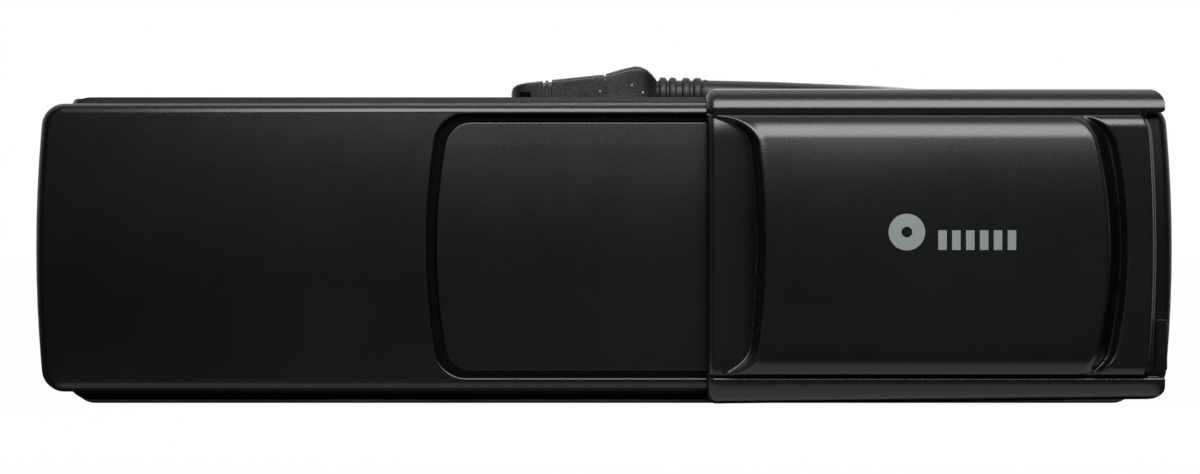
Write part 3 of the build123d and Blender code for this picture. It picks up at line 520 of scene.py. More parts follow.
def cap(work: Work, *ends: Edges) -> None:
    """Closes each loop with one flat face."""
    for edges in ends:
        bmesh.ops.contextual_create(work, geom=edges)


def soften(work: Work, edges: Edges, size: float, steps: int = 4) -> None:
    """Rounds the given edges by size millimetres."""
    bevel(work, [e for e in edges if e.is_valid], size, steps, "EDGES")


def slice_up(work: Work, low: float, high: float, step: float) -> None:
    """Cuts every face at even heights, so that a tall flat one can be curved.

    Args:
        work: the shape.
        low: its lower end, in millimetres.
        high: its upper end.
        step: the distance between the cuts.
    """
    for k in range(1, int((high - low) / step)):
        bmesh.ops.bisect_plane(
            work, geom=list(work.verts) + list(work.edges) + list(work.faces), dist=WELD,
            plane_co=(0.0, 0.0, low + k * step), plane_no=(0.0, 0.0, 1.0),
        )


def crown(work: Work, behind: float, middle: float, half: float, sag: float) -> None:
    """Curves a front face back towards its upper and lower edges.

    Args:
        work: the shape.
        behind: vertices further back than this stay, in millimetres.
        middle: height of the face's middle.
        half: half its height.
        sag: how far its edges go back.
    """
    for vert in work.verts:
        share = 1.0 - smooth(vert.co.y, behind - 0.6, behind)
        vert.co.y += sag * share * ((vert.co.z - middle) / half) ** 2


def block(work: Work, low: Point, high: Point, soft: float = 0.0) -> None:
    """Adds a block.

    Args:
        work: the shape that it joins.
        low: its lowest corner, in millimetres.
        high: its highest corner.
        soft: how far its edges are rounded.
    """
    size = [b - a for a, b in zip(low, high)]
    middle = [(a + b) / 2 for a, b in zip(low, high)]
    made = bmesh.ops.create_cube(
        work, size=1.0, matrix=Matrix.Translation(middle) @ Matrix.Diagonal((*size, 1.0))
    )["verts"]
    if soft:
        soften(work, list({e for v in made for e in v.link_edges}), soft, 3)


def post(
    work: Work,
    start: Point,
    end: Point,
    radius: float,
    tip: float | None = None,
    sides: int = 32,
) -> None:
    """Adds a round post between two points.

    Args:
        work: the shape that it joins.
        start: the middle of one end, in millimetres.
        end: the middle of the other end.
        radius: its radius at the start.
        tip: its radius at the end, where that differs.
        sides: how many flat sides stand for its roundness.
    """
    a, b = Vector(start), Vector(end)
    way = b - a
    turn = way.to_track_quat("Z", "Y").to_matrix().to_4x4()
    bmesh.ops.create_cone(
        work, cap_ends=True, cap_tris=False, segments=sides,
        radius1=radius, radius2=radius if tip is None else tip, depth=way.length,
        matrix=Matrix.Translation((a + b) / 2) @ turn,
    )


def turned(
    work: Work, profile: Sequence[tuple[float, float]], origin: Point, axis: Point
) -> None:
    """Spins a profile round an axis.

    Args:
        work: the shape that it joins.
        profile: (along, radius) points, in millimetres.
        origin: the point on the axis that the profile starts from.
        axis: the way of the axis.
    """
    way = Vector(axis).normalized()
    side = way.orthogonal().normalized()
    verts = [
        work.verts.new(Vector(origin) + way * along + side * radius) for along, radius in profile
    ]
    edges = [work.edges.new(pair) for pair in zip(verts, verts[1:])]
    bmesh.ops.spin(
        work, geom=verts + edges, cent=origin, axis=way, angle=math.tau, steps=40,
        use_merge=True, use_duplicate=False,
    )
    bmesh.ops.remove_doubles(work, verts=work.verts, dist=WELD)


# ---- the front


@dataclass
class Bezel:
    """The wide moulded front with bowed ends and a window, and its dark seam at the back."""

    half: float = 128.0
    bottom: float = 2.9
    top: float = 67.9
    corner: float = 4.6
    bow: float = 1.6
    front: float = -84.5
    back: float = -77.0
    rounding: float = 2.1
    skin: float = 1.5
    wall: float = 1.3
    end_wall: float = 3.0
    window: Outline = Outline(-40.0, 121.9, 6.1, 65.6, 5.8, 3.0, 0.0)

    def build(self) -> None:
        """Makes the shell with its window, end block and bosses."""
        bows = (self.bow, self.bow)
        outer = Outline(-self.half, self.half, self.bottom, self.top, self.corner, *bows)
        end = self.half - self.end_wall
        low, high = self.bottom + self.wall, self.top - self.wall
        inner = Outline(-end, end, low, high, self.corner - self.wall, *bows)
        behind = self.front + self.skin
        shell = bmesh.new()
        loops = stack(
            shell,
            [
                (outer, self.back), (outer, self.front), (self.window, self.front),
                (self.window, behind), (inner.grown(-1.2), behind), (inner, behind + 0.8),
                (inner, self.back),
            ],
            close=True,
        )
        soften(shell, loops[1], self.rounding, 7)
        soften(shell, loops[2], 0.45, 3)
        soften(shell, loops[0], 0.35, 2)
        slice_up(shell, self.bottom, self.top, 3.25)
        crown(shell, -81.0, FACE_MIDDLE, FACE_HALF, FRONT_SAG)
        block(shell, (121.9, -82.4, 6.0), (124.4, -80.4, 65.0), 0.4)
        for z in (11.0, 59.0):
            post(shell, (-114.5, -82.4, z), (-114.5, -80.4, z), 2.8)
        publish(shell, "bezel_shell", "housing", "black_plastic", ["front_bezel"])

    def inset(self) -> None:
        """Makes the small plate low on the right end, which stands 0.2 mm proud."""
        plate = bmesh.new()
        shape = Outline(124.1, 126.7, 7.8, 19.2, 0.5)
        loops = stack(plate, [(shape, self.front + 0.1), (shape, self.front - 0.18)])
        cap(plate, *loops)
        soften(plate, loops[1], 0.12, 2)
        publish(plate, "bezel_end_plate", "housing", "black_plastic")


@dataclass
class Leaf:
    """The flush panel in the middle with its hidden flange."""

    face: Outline = Outline(-38.0, 32.0, 7.4, 63.9, 5.0, 3.0, 0.0)
    flange: Outline = Outline(-43.0, 32.0, 4.6, 66.2, 2.0, 3.0, 0.0)
    front: float = -82.9
    step: float = -81.2
    back: float = -80.7

    def build(self) -> None:
        """Makes the panel."""
        leaf = bmesh.new()
        loops = stack(
            leaf,
            [
                (self.flange, self.back),
                (self.flange, self.step),
                (self.face, self.step),
                (self.face, self.front),
            ],
        )
        cap(leaf, loops[0], loops[3])
        soften(leaf, loops[3], 0.5, 4)
        slice_up(leaf, self.face.z0, self.face.z1, 3.0)
        crown(leaf, self.step + 0.3, FACE_MIDDLE, FACE_HALF, LEAF_SAG)
        publish(leaf, "leaf_panel", "sliding_leaf", "black_plastic", ["door_leaf"])

    def shade_gap(self) -> None:
        """Makes a black felt strip on the flange, painted shade that fills the gap round the leaf
        with black.
        """
        # painted shade: this strip makes the gap round the leaf black where the lamps would light
        # it
        gap_shade = bmesh.new()
        outside, inside = self.flange.grown(-0.4), self.face.grown(-0.1)
        front = self.step - 0.8
        layers = [(outside, self.step), (outside, front), (inside, front), (inside, self.step)]
        stack(gap_shade, layers, close=True)
        publish(gap_shade, "leaf_shade_felt", "sliding_leaf", "black_rubber", finish="black_felt")


@dataclass
class Collar:
    """The moulded ring behind the bezel, with a narrower lip and one fine groove round it."""

    outer: Outline = Outline(-122.3, 122.3, 0.8, 69.6, 5.5)
    hole: Outline = Outline(-119.6, 119.6, 5.0, 65.6, 3.0)
    front: float = -74.6
    shelf: float = -72.0
    back: float = -66.0

    def build(self) -> None:
        """Makes the ring."""
        lip, groove, thin = (self.outer.grown(-by) for by in (0.9, 0.55, 0.62))
        front, back = self.front, self.back
        collar = bmesh.new()
        loops = stack(
            collar,
            [
                (self.hole, front), (lip, front), (lip, front + 1.6), (self.outer, front + 1.74),
                (self.outer, front + 4.2), (groove, front + 4.5), (groove, front + 5.0),
                (self.outer, front + 5.3), (self.outer, back), (thin, back),
                (thin, self.shelf), (self.hole, self.shelf),
            ],
            close=True,
        )
        soften(collar, loops[1], 0.5, 3)
        soften(collar, loops[8], 0.25, 2)
        stands_for = ["front_collar"]
        publish(
            collar, "collar_ring", "housing", "black_plastic", stands_for, finish="ring_plastic"
        )


@dataclass(frozen=True)
class Sweep:
    """A line up the door's face that bows a little and hooks over towards both ends.

    Args:
        place: its place across the door at mid height, in millimetres.
        bow: how far it has moved left at 20 mm from the middle.
        start: half-height where the hook starts.
        reach: height of the hook.
        hook: how far left the hook goes.
    """

    place: float
    bow: float
    start: float
    reach: float
    hook: float

    def at(self, height: float) -> float:
        """Returns the line's place at a half-height."""
        turn = 1 - math.sqrt(1 - clamp((height - self.start) / self.reach, 0.0, 0.999) ** 2)
        return self.place - self.bow * (height / 20.0) ** 2 - self.hook * turn

    def past(self, x: float, height: float) -> float:
        """Returns how far a point is to the right of the line, measured square to it."""
        slope = (self.at(height + 0.05) - self.at(height - 0.05)) / 0.1
        return (x - self.at(height)) / math.sqrt(1.0 + slope * slope)


@dataclass
class Door:
    """The proud right-hand sleeve: two lips, a pillow, a finger scoop and a raised strip."""

    left: float = 23.0
    width: float = 103.0
    base: float = -87.0
    bottom: float = 0.2
    top: float = 71.2
    lip_round: float = 5.3
    seam_low: float = 6.6
    seam_high: float = 65.5
    seam: float = 0.55
    lip_back: float = -74.9
    lip_end: float = 126.0
    lip_corner: float = 3.6
    left_roll: float = 2.3
    right_roll: float = 0.9
    wall: float = 2.3
    rise: float = 5.2
    roll: float = 5.6
    scoop: float = 1.5
    groove: float = 0.3
    strip_rise: float = 2.6
    strip_roll: float = 3.2
    climb: float = 1.1
    columns: int = 190
    rows: int = 170
    # shares of the section that a lip and its rounding end at, and of the width for each rolled end
    lip_share: float = 0.06
    round_share: float = 0.14
    end_shares: tuple[float, float] = (0.07, 0.97)
    # places across the door, denser where the relief turns
    spread: Table = (
        (0, 0), (0.05, 0), (0.07, 2.3), (0.36, 16), (0.52, 76), (0.93, 101.2), (0.97, 103), (1, 103)
    )
    # the lines up the face stand level with its middle and hook over above and below it
    middle: float = 35.6
    ridge_left: Sweep = Sweep(36.0, 1.1, 22.5, 7.4, 10.0)
    ridge_right: Sweep = Sweep(113.0, 2.05, 23.3, 6.6, 6.0)
    strip_left: Sweep = Sweep(117.0, 1.75, 22.2, 7.7, 8.0)
    face_right: Sweep = Sweep(124.0, 0.6, 25.0, 4.9, 2.5)

    def rolled(self, edge: float, size: float) -> float:
        """Returns 0 at an edge to 1 at size millimetres from it, along a quarter circle."""
        return math.sqrt(clamp(1.0 - (1.0 - clamp(edge / size)) ** 2))

    def relief(self, x: float, z: float) -> float:
        """Height of the face over the door's base plane.

        Args:
            x: place across the door.
            z: place up the door.

        Returns:
            Millimetres towards the front.
        """
        height = abs(z - self.middle)
        edge = min(z - self.seam_low, self.seam_high - z)
        if edge <= 0:
            return -self.seam * smooth(edge, -0.75, -0.05)
        rolled = self.rolled(edge, self.roll)
        left = self.ridge_left.past(x, height)
        right = self.ridge_right.past(x, height)
        strip = self.strip_left.past(x, height)
        # the scoop falls away from the left end, and the pillow stands at its right
        slope = clamp((x - self.left) / 12.0)
        value = (self.scoop - 2.2 * slope * slope) * rolled
        pillow = self.rise * rolled * (1.0 - 0.34 * (height / 29.0) ** 3)
        value += (pillow - value) * smooth(left, -1.7, 0.25)
        # a fine edge along the pillow's left ridge
        value += 0.16 * math.exp(-(((left - 0.5) / 0.6) ** 2)) * rolled
        value += (self.groove * rolled - value) * smooth(right, -0.6, 2.9)
        raised = self.strip_rise * self.rolled(edge, self.strip_roll)
        value += (raised - value) * smooth(strip, -1.1, 0.35) * smooth(right, 0.2, 1.5)
        value *= smooth(self.face_right.at(height) - x, 0.0, 1.3)
        return value - self.seam * (1.0 - smooth(edge, 0.0, 0.5))

    def profile(self, v: float) -> tuple[float, float, float, float]:
        """Reads the sleeve's section, from its lower back edge round the front to its upper one.

        Args:
            v: 0 to 1 along the section.

        Returns:
            y, z and the outward normal's y and z.
        """
        r = self.lip_round
        share, edge, way = (v, self.bottom, -1.0) if v < 0.5 else (1.0 - v, self.top, 1.0)
        if share < self.lip_share:
            depth = self.base + r - self.lip_back
            return self.lip_back + depth * share / self.lip_share, edge, 0.0, way
        span = self.round_share - self.lip_share
        if share < self.round_share:
            turn = math.pi / 2 * (share - self.lip_share) / span
            c, s = math.cos(turn), math.sin(turn)
            return self.base + r - r * s, edge - way * r * (1.0 - c), -s, way * c
        low, high = self.bottom + r, self.top - r
        t = (v - self.round_share) / (1.0 - 2.0 * self.round_share)
        # rows crowd towards the two rolled edges
        crowded = t - 0.095 * math.sin(math.tau * t)
        return self.base, low + (high - low) * crowded, -1.0, 0.0

    def right_end(self, z: float) -> float:
        """Returns where the sleeve ends at the right: short on the face, further on the lips."""
        face = self.face_right.at(abs(z - self.middle))
        outside = max(self.seam_low - z, z - self.seam_high)
        r = self.lip_corner
        lip = self.lip_end
        for edge in (self.top, self.bottom):
            depth = r - abs(edge - z)
            if depth > 0:
                lip = self.lip_end - (r - math.sqrt(max(0.0, r**2 - depth**2)))
        return face + (lip - face) * smooth(outside, -0.3, 0.5)

    def outer(self, u: float, v: float) -> Vector:
        """Gives the sleeve's outer surface.

        Args:
            u: 0 to 1 from left to right.
            v: 0 to 1 along the section.

        Returns:
            The point, in millimetres.
        """
        y, z, ny, nz = self.profile(v)
        end = self.right_end(z)
        x = self.left + (end - self.left) * read(self.spread, u) / self.width
        height = self.relief(x, z) if ny < -0.5 else 0.0
        # both ends roll back towards the bezel
        drop = 0.0
        left_share, right_share = self.end_shares
        if u < left_share:
            turn = math.pi / 2 * clamp((left_share - u) / 0.05)
            x = self.left + self.left_roll * (1 - math.sin(turn))
            drop = self.left_roll * (1 - math.cos(turn))
            height *= 1.0 - clamp((left_share - u) / left_share) ** 2
        if u > right_share:
            share = (u - right_share) / (1.0 - right_share)
            turn = math.pi / 2 * share
            x = end - self.right_roll * (1 - math.sin(turn))
            drop = self.right_roll * (1 - math.cos(turn)) + 1.2 * smooth(share, 0.7, 1.0)
        # the lower lip's underside climbs a little towards the right
        climb = self.climb * clamp((x - self.left) / self.width) * (1.0 - clamp(z / 5.0))
        return Vector((x, y - ny * drop + ny * height, z - nz * drop + nz * height + climb))

    def build(self) -> None:
        """Makes the sleeve's outer surface, its inner surface and the hooks behind the bezel."""
        sleeve = bmesh.new()
        skins = []
        for inside in (False, True):
            made = bmesh.ops.create_grid(
                sleeve, x_segments=self.columns, y_segments=self.rows, size=1.0
            )["verts"]
            for vert in made:
                u, v = (vert.co.x + 1) / 2, (vert.co.y + 1) / 2
                place = self.outer(u, v)
                if inside:
                    y, z, ny, nz = self.profile(v)
                    place = Vector((place.x, y - ny * self.wall, z - nz * self.wall))
                vert.co = place
            faces = {f for vert in made for f in vert.link_faces}
            skins.append([e for f in faces for e in f.edges if e.is_boundary])
        bmesh.ops.bridge_loops(sleeve, edges=list(set(skins[0])) + list(set(skins[1])))
        for z0, z1 in ((66.5, 69.4), (2.0, 4.1)):
            block(sleeve, (24.2, -76.6, z0), (124.6, -74.95, z1), 0.2)
        publish(
            sleeve, "door_sleeve", "sliding_cover", "black_plastic", ["door_cover"], sharp_deg=50.0
        )

    def mark(self) -> None:
        """Makes the generic print: a ring and six bars, in pale ink on the pillow."""
        ink = bmesh.new()
        post(ink, (67.6, -0.02, 38.9), (67.6, 0.02, 38.9), 4.1, sides=48)
        # a smaller disc is cut out of both ends, which leaves a ring
        ends = [f for f in ink.faces if len(f.verts) > 8]
        bmesh.ops.inset_region(ink, faces=ends, thickness=2.9, depth=0.0)
        holes = [f for f in ink.faces if len(f.verts) > 8]
        bmesh.ops.delete(ink, geom=holes, context="FACES")
        bmesh.ops.bridge_loops(ink, edges=[e for e in ink.edges if e.is_boundary])
        for k in range(6):
            x = 74.6 + 3.1 * k
            block(ink, (x, -0.02, 34.9), (x + 1.9, 0.02, 39.3))
        for vert in ink.verts:
            proud = self.base - self.relief(vert.co.x, vert.co.z)
            vert.co.y = proud + (-0.03 if vert.co.y < 0 else 0.05)
        publish(ink, "door_print", "sliding_cover", "black_plastic", finish="print_ink")


# ---- the case


def screw(work: Work, place: Point, axis: Point, radius: float, height: float) -> None:
    """Adds a pan head with a cross recess.

    Args:
        work: the shape that it joins.
        place: the middle of its underside, in millimetres.
        axis: the way that the head faces.
        radius: the head's radius.
        height: the head's height.
    """
    way = Vector((0, 0, 1)).rotation_difference(Vector(axis))
    turn = Matrix.Translation(place) @ way.to_matrix().to_4x4()
    loops = []
    for size, level in ((1.0, 0.0), (1.0, 0.45), (0.93, 0.75), (0.76, 1.0)):
        made = bmesh.ops.create_circle(work, cap_ends=False, segments=32, radius=radius * size)
        lift = Matrix.Translation((0, 0, height * level))
        bmesh.ops.transform(work, matrix=turn @ lift, verts=made["verts"])
        loops.append(list({e for v in made["verts"] for e in v.link_edges}))
    for size, level in ((1.0, 1.0), (0.62, 0.3)):
        a, b = radius * 0.52 * size, radius * 0.13 * size
        cross = (
            (b, a), (-b, a), (-b, b), (-a, b), (-a, -b), (-b, -b),
            (-b, -a), (b, -a), (b, -b), (a, -b), (a, b), (b, b),
        )
        made = [work.verts.new(turn @ Vector((x, y, height * level))) for x, y in cross]
        loops.append([work.edges.new(pair) for pair in zip(made, made[1:] + made[:1])])
    bridge(work, loops)
    cap(work, loops[0], loops[-1])


@dataclass
class Case:
    """What shows on the steel case: screws, pressed beads and the bare label places."""

    half: float = 121.8
    top: float = 69.5
    back: float = 91.0
    wall_back: float = 90.0

    def screws(self) -> None:
        """Makes the eight cover screws with their recesses."""
        heads = bmesh.new()
        for side in (-1, 1):
            for y in (-40.0, 8.0, 56.0):
                screw(heads, (side * self.half, y, 56.5), (side, 0, 0), 2.6, 1.3)
        for x in (-70.0, 70.0):
            screw(heads, (x, self.back, 63.5), (0, 1, 0), 2.6, 1.3)
        publish(heads, "screw_heads", "housing", "screw_steel", ["cover_screws"])

    def beads(self) -> None:
        """Makes the pressed beads that stiffen the cover, clear of where the lead lies."""
        beads = bmesh.new()
        for y in (-40, 62, 74):
            self.bead(beads, -104, -6, y - 2.6, y + 2.6)
        self.bead(beads, 112.5, 115.5, -50, 60)
        publish(beads, "cover_beads", "housing", "black_steel")

    def bead(self, work: Work, x0: float, x1: float, y0: float, y1: float) -> None:
        """Adds one low round-ended bead on the cover.

        Args:
            work: the shape that it joins.
            x0: its left end, in millimetres.
            x1: its right end.
            y0: its front.
            y1: its back.
        """
        part = bmesh.new()
        shape = Outline(x0, x1, y0, y1, min(x1 - x0, y1 - y0) / 2 * 0.98)
        heights = ((0.0, 0.05), (0.25, -0.2), (0.7, -0.38), (1.2, -0.42))
        loops = stack(part, [(shape.grown(-by) if by else shape, y) for by, y in heights])
        cap(part, loops[0], loops[-1])
        lay = Matrix.Translation((0, 0, self.top)) @ Matrix.Rotation(math.radians(-90), 4, "X")
        bmesh.ops.transform(part, matrix=lay, verts=part.verts[:])
        held = to_data(part, "bead")
        work.from_mesh(held)
        bpy.data.meshes.remove(held)

    def labels(self) -> None:
        """Makes two bare label plates, one on the cover and one on the back wall."""
        plates = bmesh.new()
        top, back = self.top, self.wall_back
        block(plates, (-92.0, -18.0, top - 0.05), (-36.0, 22.0, top + 0.12), 0.05)
        block(plates, (-58.0, back - 0.05, 14.0), (14.0, back + 0.12, 40.0), 0.05)
        publish(plates, "bare_labels", "housing", "grey_plastic", finish="label_foil")

    def wall(self) -> None:
        """Makes the raised pressings round the rear label: two long level ones and two upright."""
        pressed = bmesh.new()
        back = self.wall_back
        for z in (8.0, 46.0):
            block(pressed, (-84.0, back - 0.1, z - 1.4), (60.0, back + 0.55, z + 1.4), 0.5)
        for x in (-106.0, -98.0):
            block(pressed, (x - 1.2, back - 0.1, 12.0), (x + 1.2, back + 0.5, 42.0), 0.45)
        publish(pressed, "rear_pressings", "housing", "plated_steel")

    def build(self) -> None:
        """Makes every piece of the case."""
        self.screws()
        self.beads()
        self.labels()
        self.wall()


@dataclass
class Magazine:
    """What shows on the magazine's front when the door is open."""

    front: float = -58.0
    lid_top: float = 59.0

    def grip(self) -> None:
        """Makes the finger ribs, a small arrow and the frame of the label place."""
        grip = bmesh.new()
        for k in range(7):
            z = 20.0 + 2.4 * k
            block(grip, (68.0, self.front - 0.7, z), (108.0, self.front + 0.1, z + 1.1), 0.3)
        arrow = ((84.0, 50.0), (92.0, 50.0), (88.0, 44.0))
        face = grip.faces.new([grip.verts.new((x, self.front - 0.5, z)) for x, z in arrow])
        made = bmesh.ops.extrude_face_region(grip, geom=[face])["geom"]
        back = [v for v in made if isinstance(v, bmesh.types.BMVert)]
        bmesh.ops.translate(grip, verts=back, vec=(0.0, 0.6, 0.0))
        bars = ((42, 22, 62, 22.8), (42, 50.2, 62, 51), (42, 22, 42.8, 51), (61.2, 22, 62, 51))
        for x0, z0, x1, z1 in bars:
            block(grip, (x0, self.front - 0.4, z0), (x1, self.front + 0.1, z1), 0.2)
        publish(grip, "magazine_grip", "magazine", "grey_plastic")

    def lid(self) -> None:
        """Makes the low ribs on the lid, which run in the bay."""
        ribs = bmesh.new()
        for x in (8.0, 30.0, 80.0, 104.0):
            block(ribs, (x, -50.0, self.lid_top - 0.1), (x + 2.0, 64.0, self.lid_top + 0.4), 0.2)
        publish(ribs, "magazine_ribs", "magazine", "grey_plastic")

    def build(self) -> None:
        """Makes both pieces."""
        self.grip()
        self.lid()


# ---- the lead


@dataclass
class Lead:
    """The captive lead: jacket, ribbed boot and plug."""

    diameter: float = 6.0
    length: float = 265.0
    # near the CAD tube's points, but low enough at the rear edge to stay behind the door
    route: tuple[Point, ...] = (
        (95, 110, 10), (95, 132, 10), (95, 153, 20), (94.7, 157.8, 42), (94, 151.5, 63),
        (92.7, 130, 72.8), (90.5, 110, 74.2), (87.5, 87.5, 73.8), (83.5, 66, 73),
        (77, 46.5, 72.7), (67.5, 29, 72.7), (53, 16.8, 72.8), (38, 11, 73.2), (25.3, 11, 73.4),
    )
    plug_y: float = 11.0
    plug_base: float = 69.8
    # plug sections: x, half width, top over the base
    sections: tuple[Point, ...] = (
        (-22.6, 5.6, 3.6), (-22.2, 6.7, 4.6), (-21.2, 7.8, 5.3), (-19.2, 8.7, 5.75),
        (-15.0, 9.0, 6.2), (-14.9, 8.5, 5.75), (-14.3, 8.5, 5.8), (-14.2, 9.0, 6.3),
        (-13.6, 9.0, 6.35), (-13.5, 8.5, 5.9), (-12.7, 8.5, 6.0), (-12.6, 9.0, 6.5),
        (-2.0, 8.2, 7.65), (0.0, 8.0, 7.85), (0.1, 7.7, 7.5), (0.5, 7.7, 7.55),
        (0.6, 8.0, 8.0), (4.4, 7.6, 9.15), (7.6, 7.2, 9.9), (9.0, 7.0, 9.85),
        (10.6, 6.6, 9.2), (11.9, 6.0, 8.1), (12.9, 5.2, 6.9),
    )
    # boot ribs: middle, radius and half width
    ribs: tuple[Point, ...] = (
        (14.6, 3.75, 1.0), (17.0, 3.7, 1.0), (20.3, 3.65, 1.05), (23.1, 3.6, 1.15)
    )

    def jacket(self) -> Piece:
        """Makes the jacket as one smooth curve along the route.

        Returns:
            The curve.
        """
        data = bpy.data.curves.new("lead_jacket", "CURVE")
        data.dimensions = "3D"
        data.bevel_depth = self.diameter / 2 * MM
        data.bevel_resolution = 8
        data.resolution_u = 12
        data.use_fill_caps = True
        line = data.splines.new("NURBS")
        line.points.add(len(self.route) - 1)
        for point, (x, y, z) in zip(line.points, self.route):
            point.co = (x * MM, y * MM, z * MM, 1.0)
        line.order_u = 3
        line.use_endpoint_u = True
        piece = add_object("lead_jacket", data)
        data.materials.append(FINISHES["lead_jacket"].material())
        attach(piece, "housing")
        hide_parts("lead")
        return piece

    def boot(self) -> Piece:
        """Makes the ribbed boot between plug and jacket.

        Returns:
            The boot.
        """
        profile = [(12.7, 0.0), (12.7, 2.9), (13.4, 2.9)]
        for middle, radius, half in self.ribs:
            steps = ((-1, 2.95), (-0.8, radius - 0.25), (-0.4, radius))
            profile += [(middle + half * at, size) for at, size in steps]
            profile += [(middle - half * at, size) for at, size in reversed(steps)]
        profile += [(25.0, 3.2), (25.6, 3.05), (25.6, 0.0)]
        boot = bmesh.new()
        turned(boot, profile, (0.0, self.plug_y, 73.4), (1.0, 0.0, 0.0))
        return publish(boot, "plug_sleeve", "housing", "black_rubber", ["plug_boot"])

    def plug(self) -> Piece:
        """Makes the plug's moulded shell, lying on the cover, nose to the left.

        Returns:
            The shell.
        """
        shell = bmesh.new()
        quarter = Matrix.Rotation(math.radians(90), 4, "Z")
        loops = []
        for x, half, top in self.sections:
            edges = ring(shell, Outline(-half, half, 0.0, top, min(2.1, top * 0.33)), 0.0)
            place = Matrix.Translation((x, self.plug_y, self.plug_base))
            fresh = list({v for e in edges for v in e.verts})
            bmesh.ops.transform(shell, matrix=place @ quarter, verts=fresh)
            loops.append(edges)
        bridge(shell, loops)
        cap(shell, loops[0], loops[-1])
        return publish(
            shell, "plug_shell", "housing", "plug_plastic", ["lead_plug"], sharp_deg=28.0
        )

    def window(self) -> Piece:
        """Makes a near-black block on the plug's near side, painted shade where the window hole is.

        Returns:
            The window.
        """
        window = bmesh.new()
        # painted shade: a near-black block set on the side wall stands in for the dark window hole
        y = self.plug_y - 9.0
        block(window, (-20.6, y, 71.7), (-17.8, y + 1.4, 73.3), 0.2)
        return publish(window, "plug_window_shade", "housing", "plug_plastic", finish="black_felt")

    def glint_studs(self) -> Piece:
        """Makes three bright steel studs on the plug's near side, placed where the plug shows
        glints: painted highlights.

        Returns:
            The studs.
        """
        glint_studs = bmesh.new()
        # painted highlights: bright studs set at the places of the plug's glints
        for x, half, z in ((-0.9, 8.2, 73.4), (6.9, 7.3, 75.0), (9.6, 6.95, 73.2)):
            y = self.plug_y - half
            post(glint_studs, (x, y + 0.6, z), (x, y - 0.25, z), 0.42, 0.3, sides=16)
        return publish(glint_studs, "plug_glint_studs", "housing", "bright_steel")

    def build(self) -> None:
        jacket = self.jacket()
        boot = self.boot()
        plug = self.plug()
        window = self.window()
        glint_studs = self.glint_studs()


# ---- studio


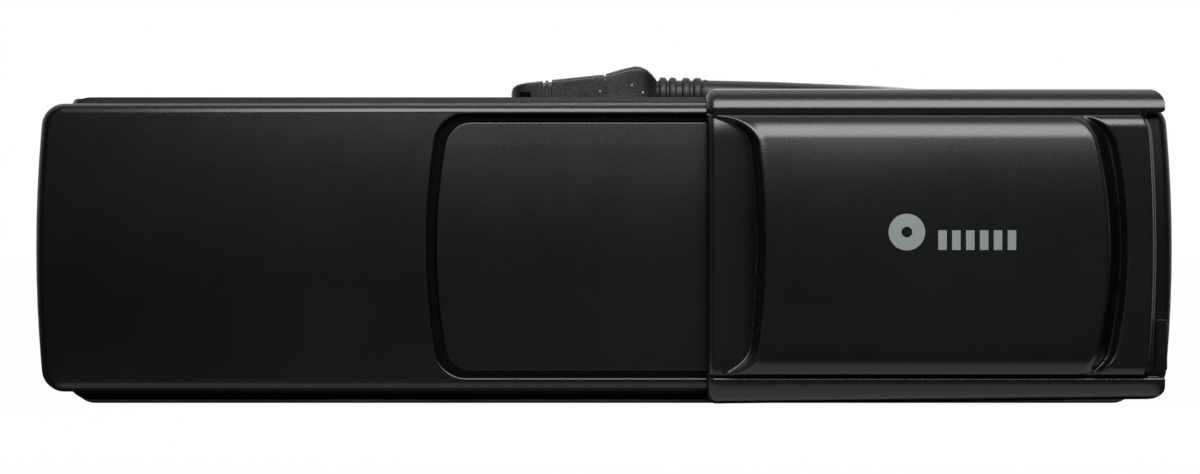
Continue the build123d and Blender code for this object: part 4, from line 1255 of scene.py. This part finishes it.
@dataclass
class Studio:
    """Camera, lamps, floor and background."""

    centre: Point = (-0.9, -87.0, 37.8)
    distance: float = 1000.0
    lens: float = 133.7

    def camera(self) -> None:
        """Sets a level camera at the photograph's viewpoint."""
        data = bpy.data.cameras.new("camera")
        data.lens = self.lens
        data.sensor_width = 36.0
        eye = add_object("camera", data)
        x, y, z = self.centre
        eye.location = (x * MM, (y - self.distance) * MM, z * MM)
        eye.rotation_euler = (math.radians(90), 0.0, 0.0)
        bpy.context.scene.camera = eye

    def lamp(
        self, name: str, place: Point, aim: Point, size: tuple[float, float], watts: float
    ) -> None:
        """Adds one soft box.

        Args:
            name: the lamp's name.
            place: where it stands, in metres.
            aim: the point that it faces, in metres.
            size: width and height, in metres.
            watts: its power.
        """
        data = bpy.data.lights.new(name, "AREA")
        data.shape = "RECTANGLE"
        data.size, data.size_y = size
        data.energy = watts
        box = add_object(name, data)
        box.location = place
        box.rotation_mode = "QUATERNION"
        box.rotation_quaternion = (Vector(aim) - Vector(place)).to_track_quat("-Z", "Y")

    def rays(self, tree: Tree) -> tuple[Socket, Socket]:
        """Adds the tests for the rays that show the background.

        Args:
            tree: the world's or the floor's node tree.

        Returns:
            1 for a ray from the camera or through clear plastic, and 1 for a mirrored ray.
        """
        ray = add_node(tree, "LightPath", {}).outputs
        seen = combine(tree, "MAXIMUM", ray["Is Camera Ray"], ray["Is Transmission Ray"])
        return seen, ray["Is Glossy Ray"]

    def world(self) -> None:
        """Gives a grey room that the camera sees as white.

        Behind and beside the object it is pale, and dark where the photographer stands.
        """
        world = bpy.data.worlds.new("room")
        tree = clear_tree(world)
        seen, mirrored = self.rays(tree)
        way = add_node(tree, "TexCoord", {}).outputs["Generated"]
        depth = add_node(tree, "SeparateXYZ", {0: way}).outputs["Y"]
        room = remap(tree, depth, -0.6, 0.4, 0.018, 0.32, interpolation_type="SMOOTHSTEP")
        shine = combine(tree, "MULTIPLY_ADD", mirrored, 1.6, 1.0)
        dim = combine(tree, "MULTIPLY", room, shine)
        strength = add_node(tree, "Mix", {0: seen, 2: dim, 3: 1.0}, data_type="FLOAT").outputs[0]
        back = add_node(tree, "Background", {"Color": WHITE, "Strength": strength})
        add_node(tree, "OutputWorld", {"Surface": back.outputs[0]})
        bpy.context.scene.world = world

    def floor(self) -> None:
        """Lays a pale floor that keeps the object's shadow and meets the white room.

        Behind the object the paper also shows pale in reflections.
        """
        work = bmesh.new()
        bmesh.ops.create_grid(work, x_segments=1, y_segments=1, size=6.0)
        data = to_data(work, "floor")
        plane = add_object("floor", data)
        paper = bpy.data.materials.new("white paper sweep")
        tree = clear_tree(paper)
        seen, mirrored = self.rays(tree)
        place = add_node(tree, "NewGeometry", {}).outputs["Position"]
        depth = add_node(tree, "SeparateXYZ", {0: place}).outputs["Y"]
        behind = combine(tree, "MULTIPLY", mirrored, remap(tree, depth, 0.0, 0.15, 0.0, 0.6))
        share = combine(tree, "MULTIPLY_ADD", seen, 0.93, behind)
        matt = add_node(tree, "BsdfDiffuse", {"Color": linear("#505050")}).outputs[0]
        glow = add_node(tree, "Emission", {"Color": WHITE, "Strength": 1.066}).outputs[0]
        mixed = add_node(tree, "MixShader", {0: share, 1: matt, 2: glow})
        add_node(tree, "OutputMaterial", {"Surface": mixed.outputs[0]})
        data.materials.append(paper)

    def build(self) -> None:
        """Sets up everything round the object."""
        self.camera()
        self.lamp("front soft box", (0.04, -0.27, 0.215), (0.03, -0.085, 0.05), (0.3, 0.17), 1.45)
        self.lamp("floor card", (0.0, -0.0905, 0.0003), (0.0, -0.0905, 1.0), (0.25, 0.013), 0.006)
        self.lamp("rear soft box", (0.35, 0.8, 0.4), (0.0, 0.0, 0.03), (0.8, 0.4), 1.5)
        self.lamp("top soft box", (0.0, 0.35, 0.9), (0.0, 0.0, 0.05), (0.9, 0.6), 0.8)
        self.world()
        self.floor()
        bpy.context.scene.view_settings.view_transform = "Standard"


# ---- assembly


def dress_frame() -> None:
    """Gives every carried-over CAD node the finish of its material slot."""
    for name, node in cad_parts.items():
        for place, old in enumerate(node.data.materials):
            slot = old.name.split(".")[0]
            if slot in FINISHES:
                node.data.materials[place] = FINISHES[slot].material()
            else:
                log.warning("%s has no finish for %s", name, old.name)


def main() -> None:
    """Builds the studio and each sub-assembly in order."""
    logging.basicConfig(level=logging.INFO, format="%(name)s: %(message)s")
    Studio().build()
    Lead().build()
    dress_frame()
    bezel = Bezel()
    bezel.build()
    bezel.inset()
    leaf = Leaf()
    leaf.build()
    leaf.shade_gap()
    Collar().build()
    Case().build()
    Magazine().build()
    door = Door()
    door.build()
    door.mark()


if __name__ == "__main__":
    main()
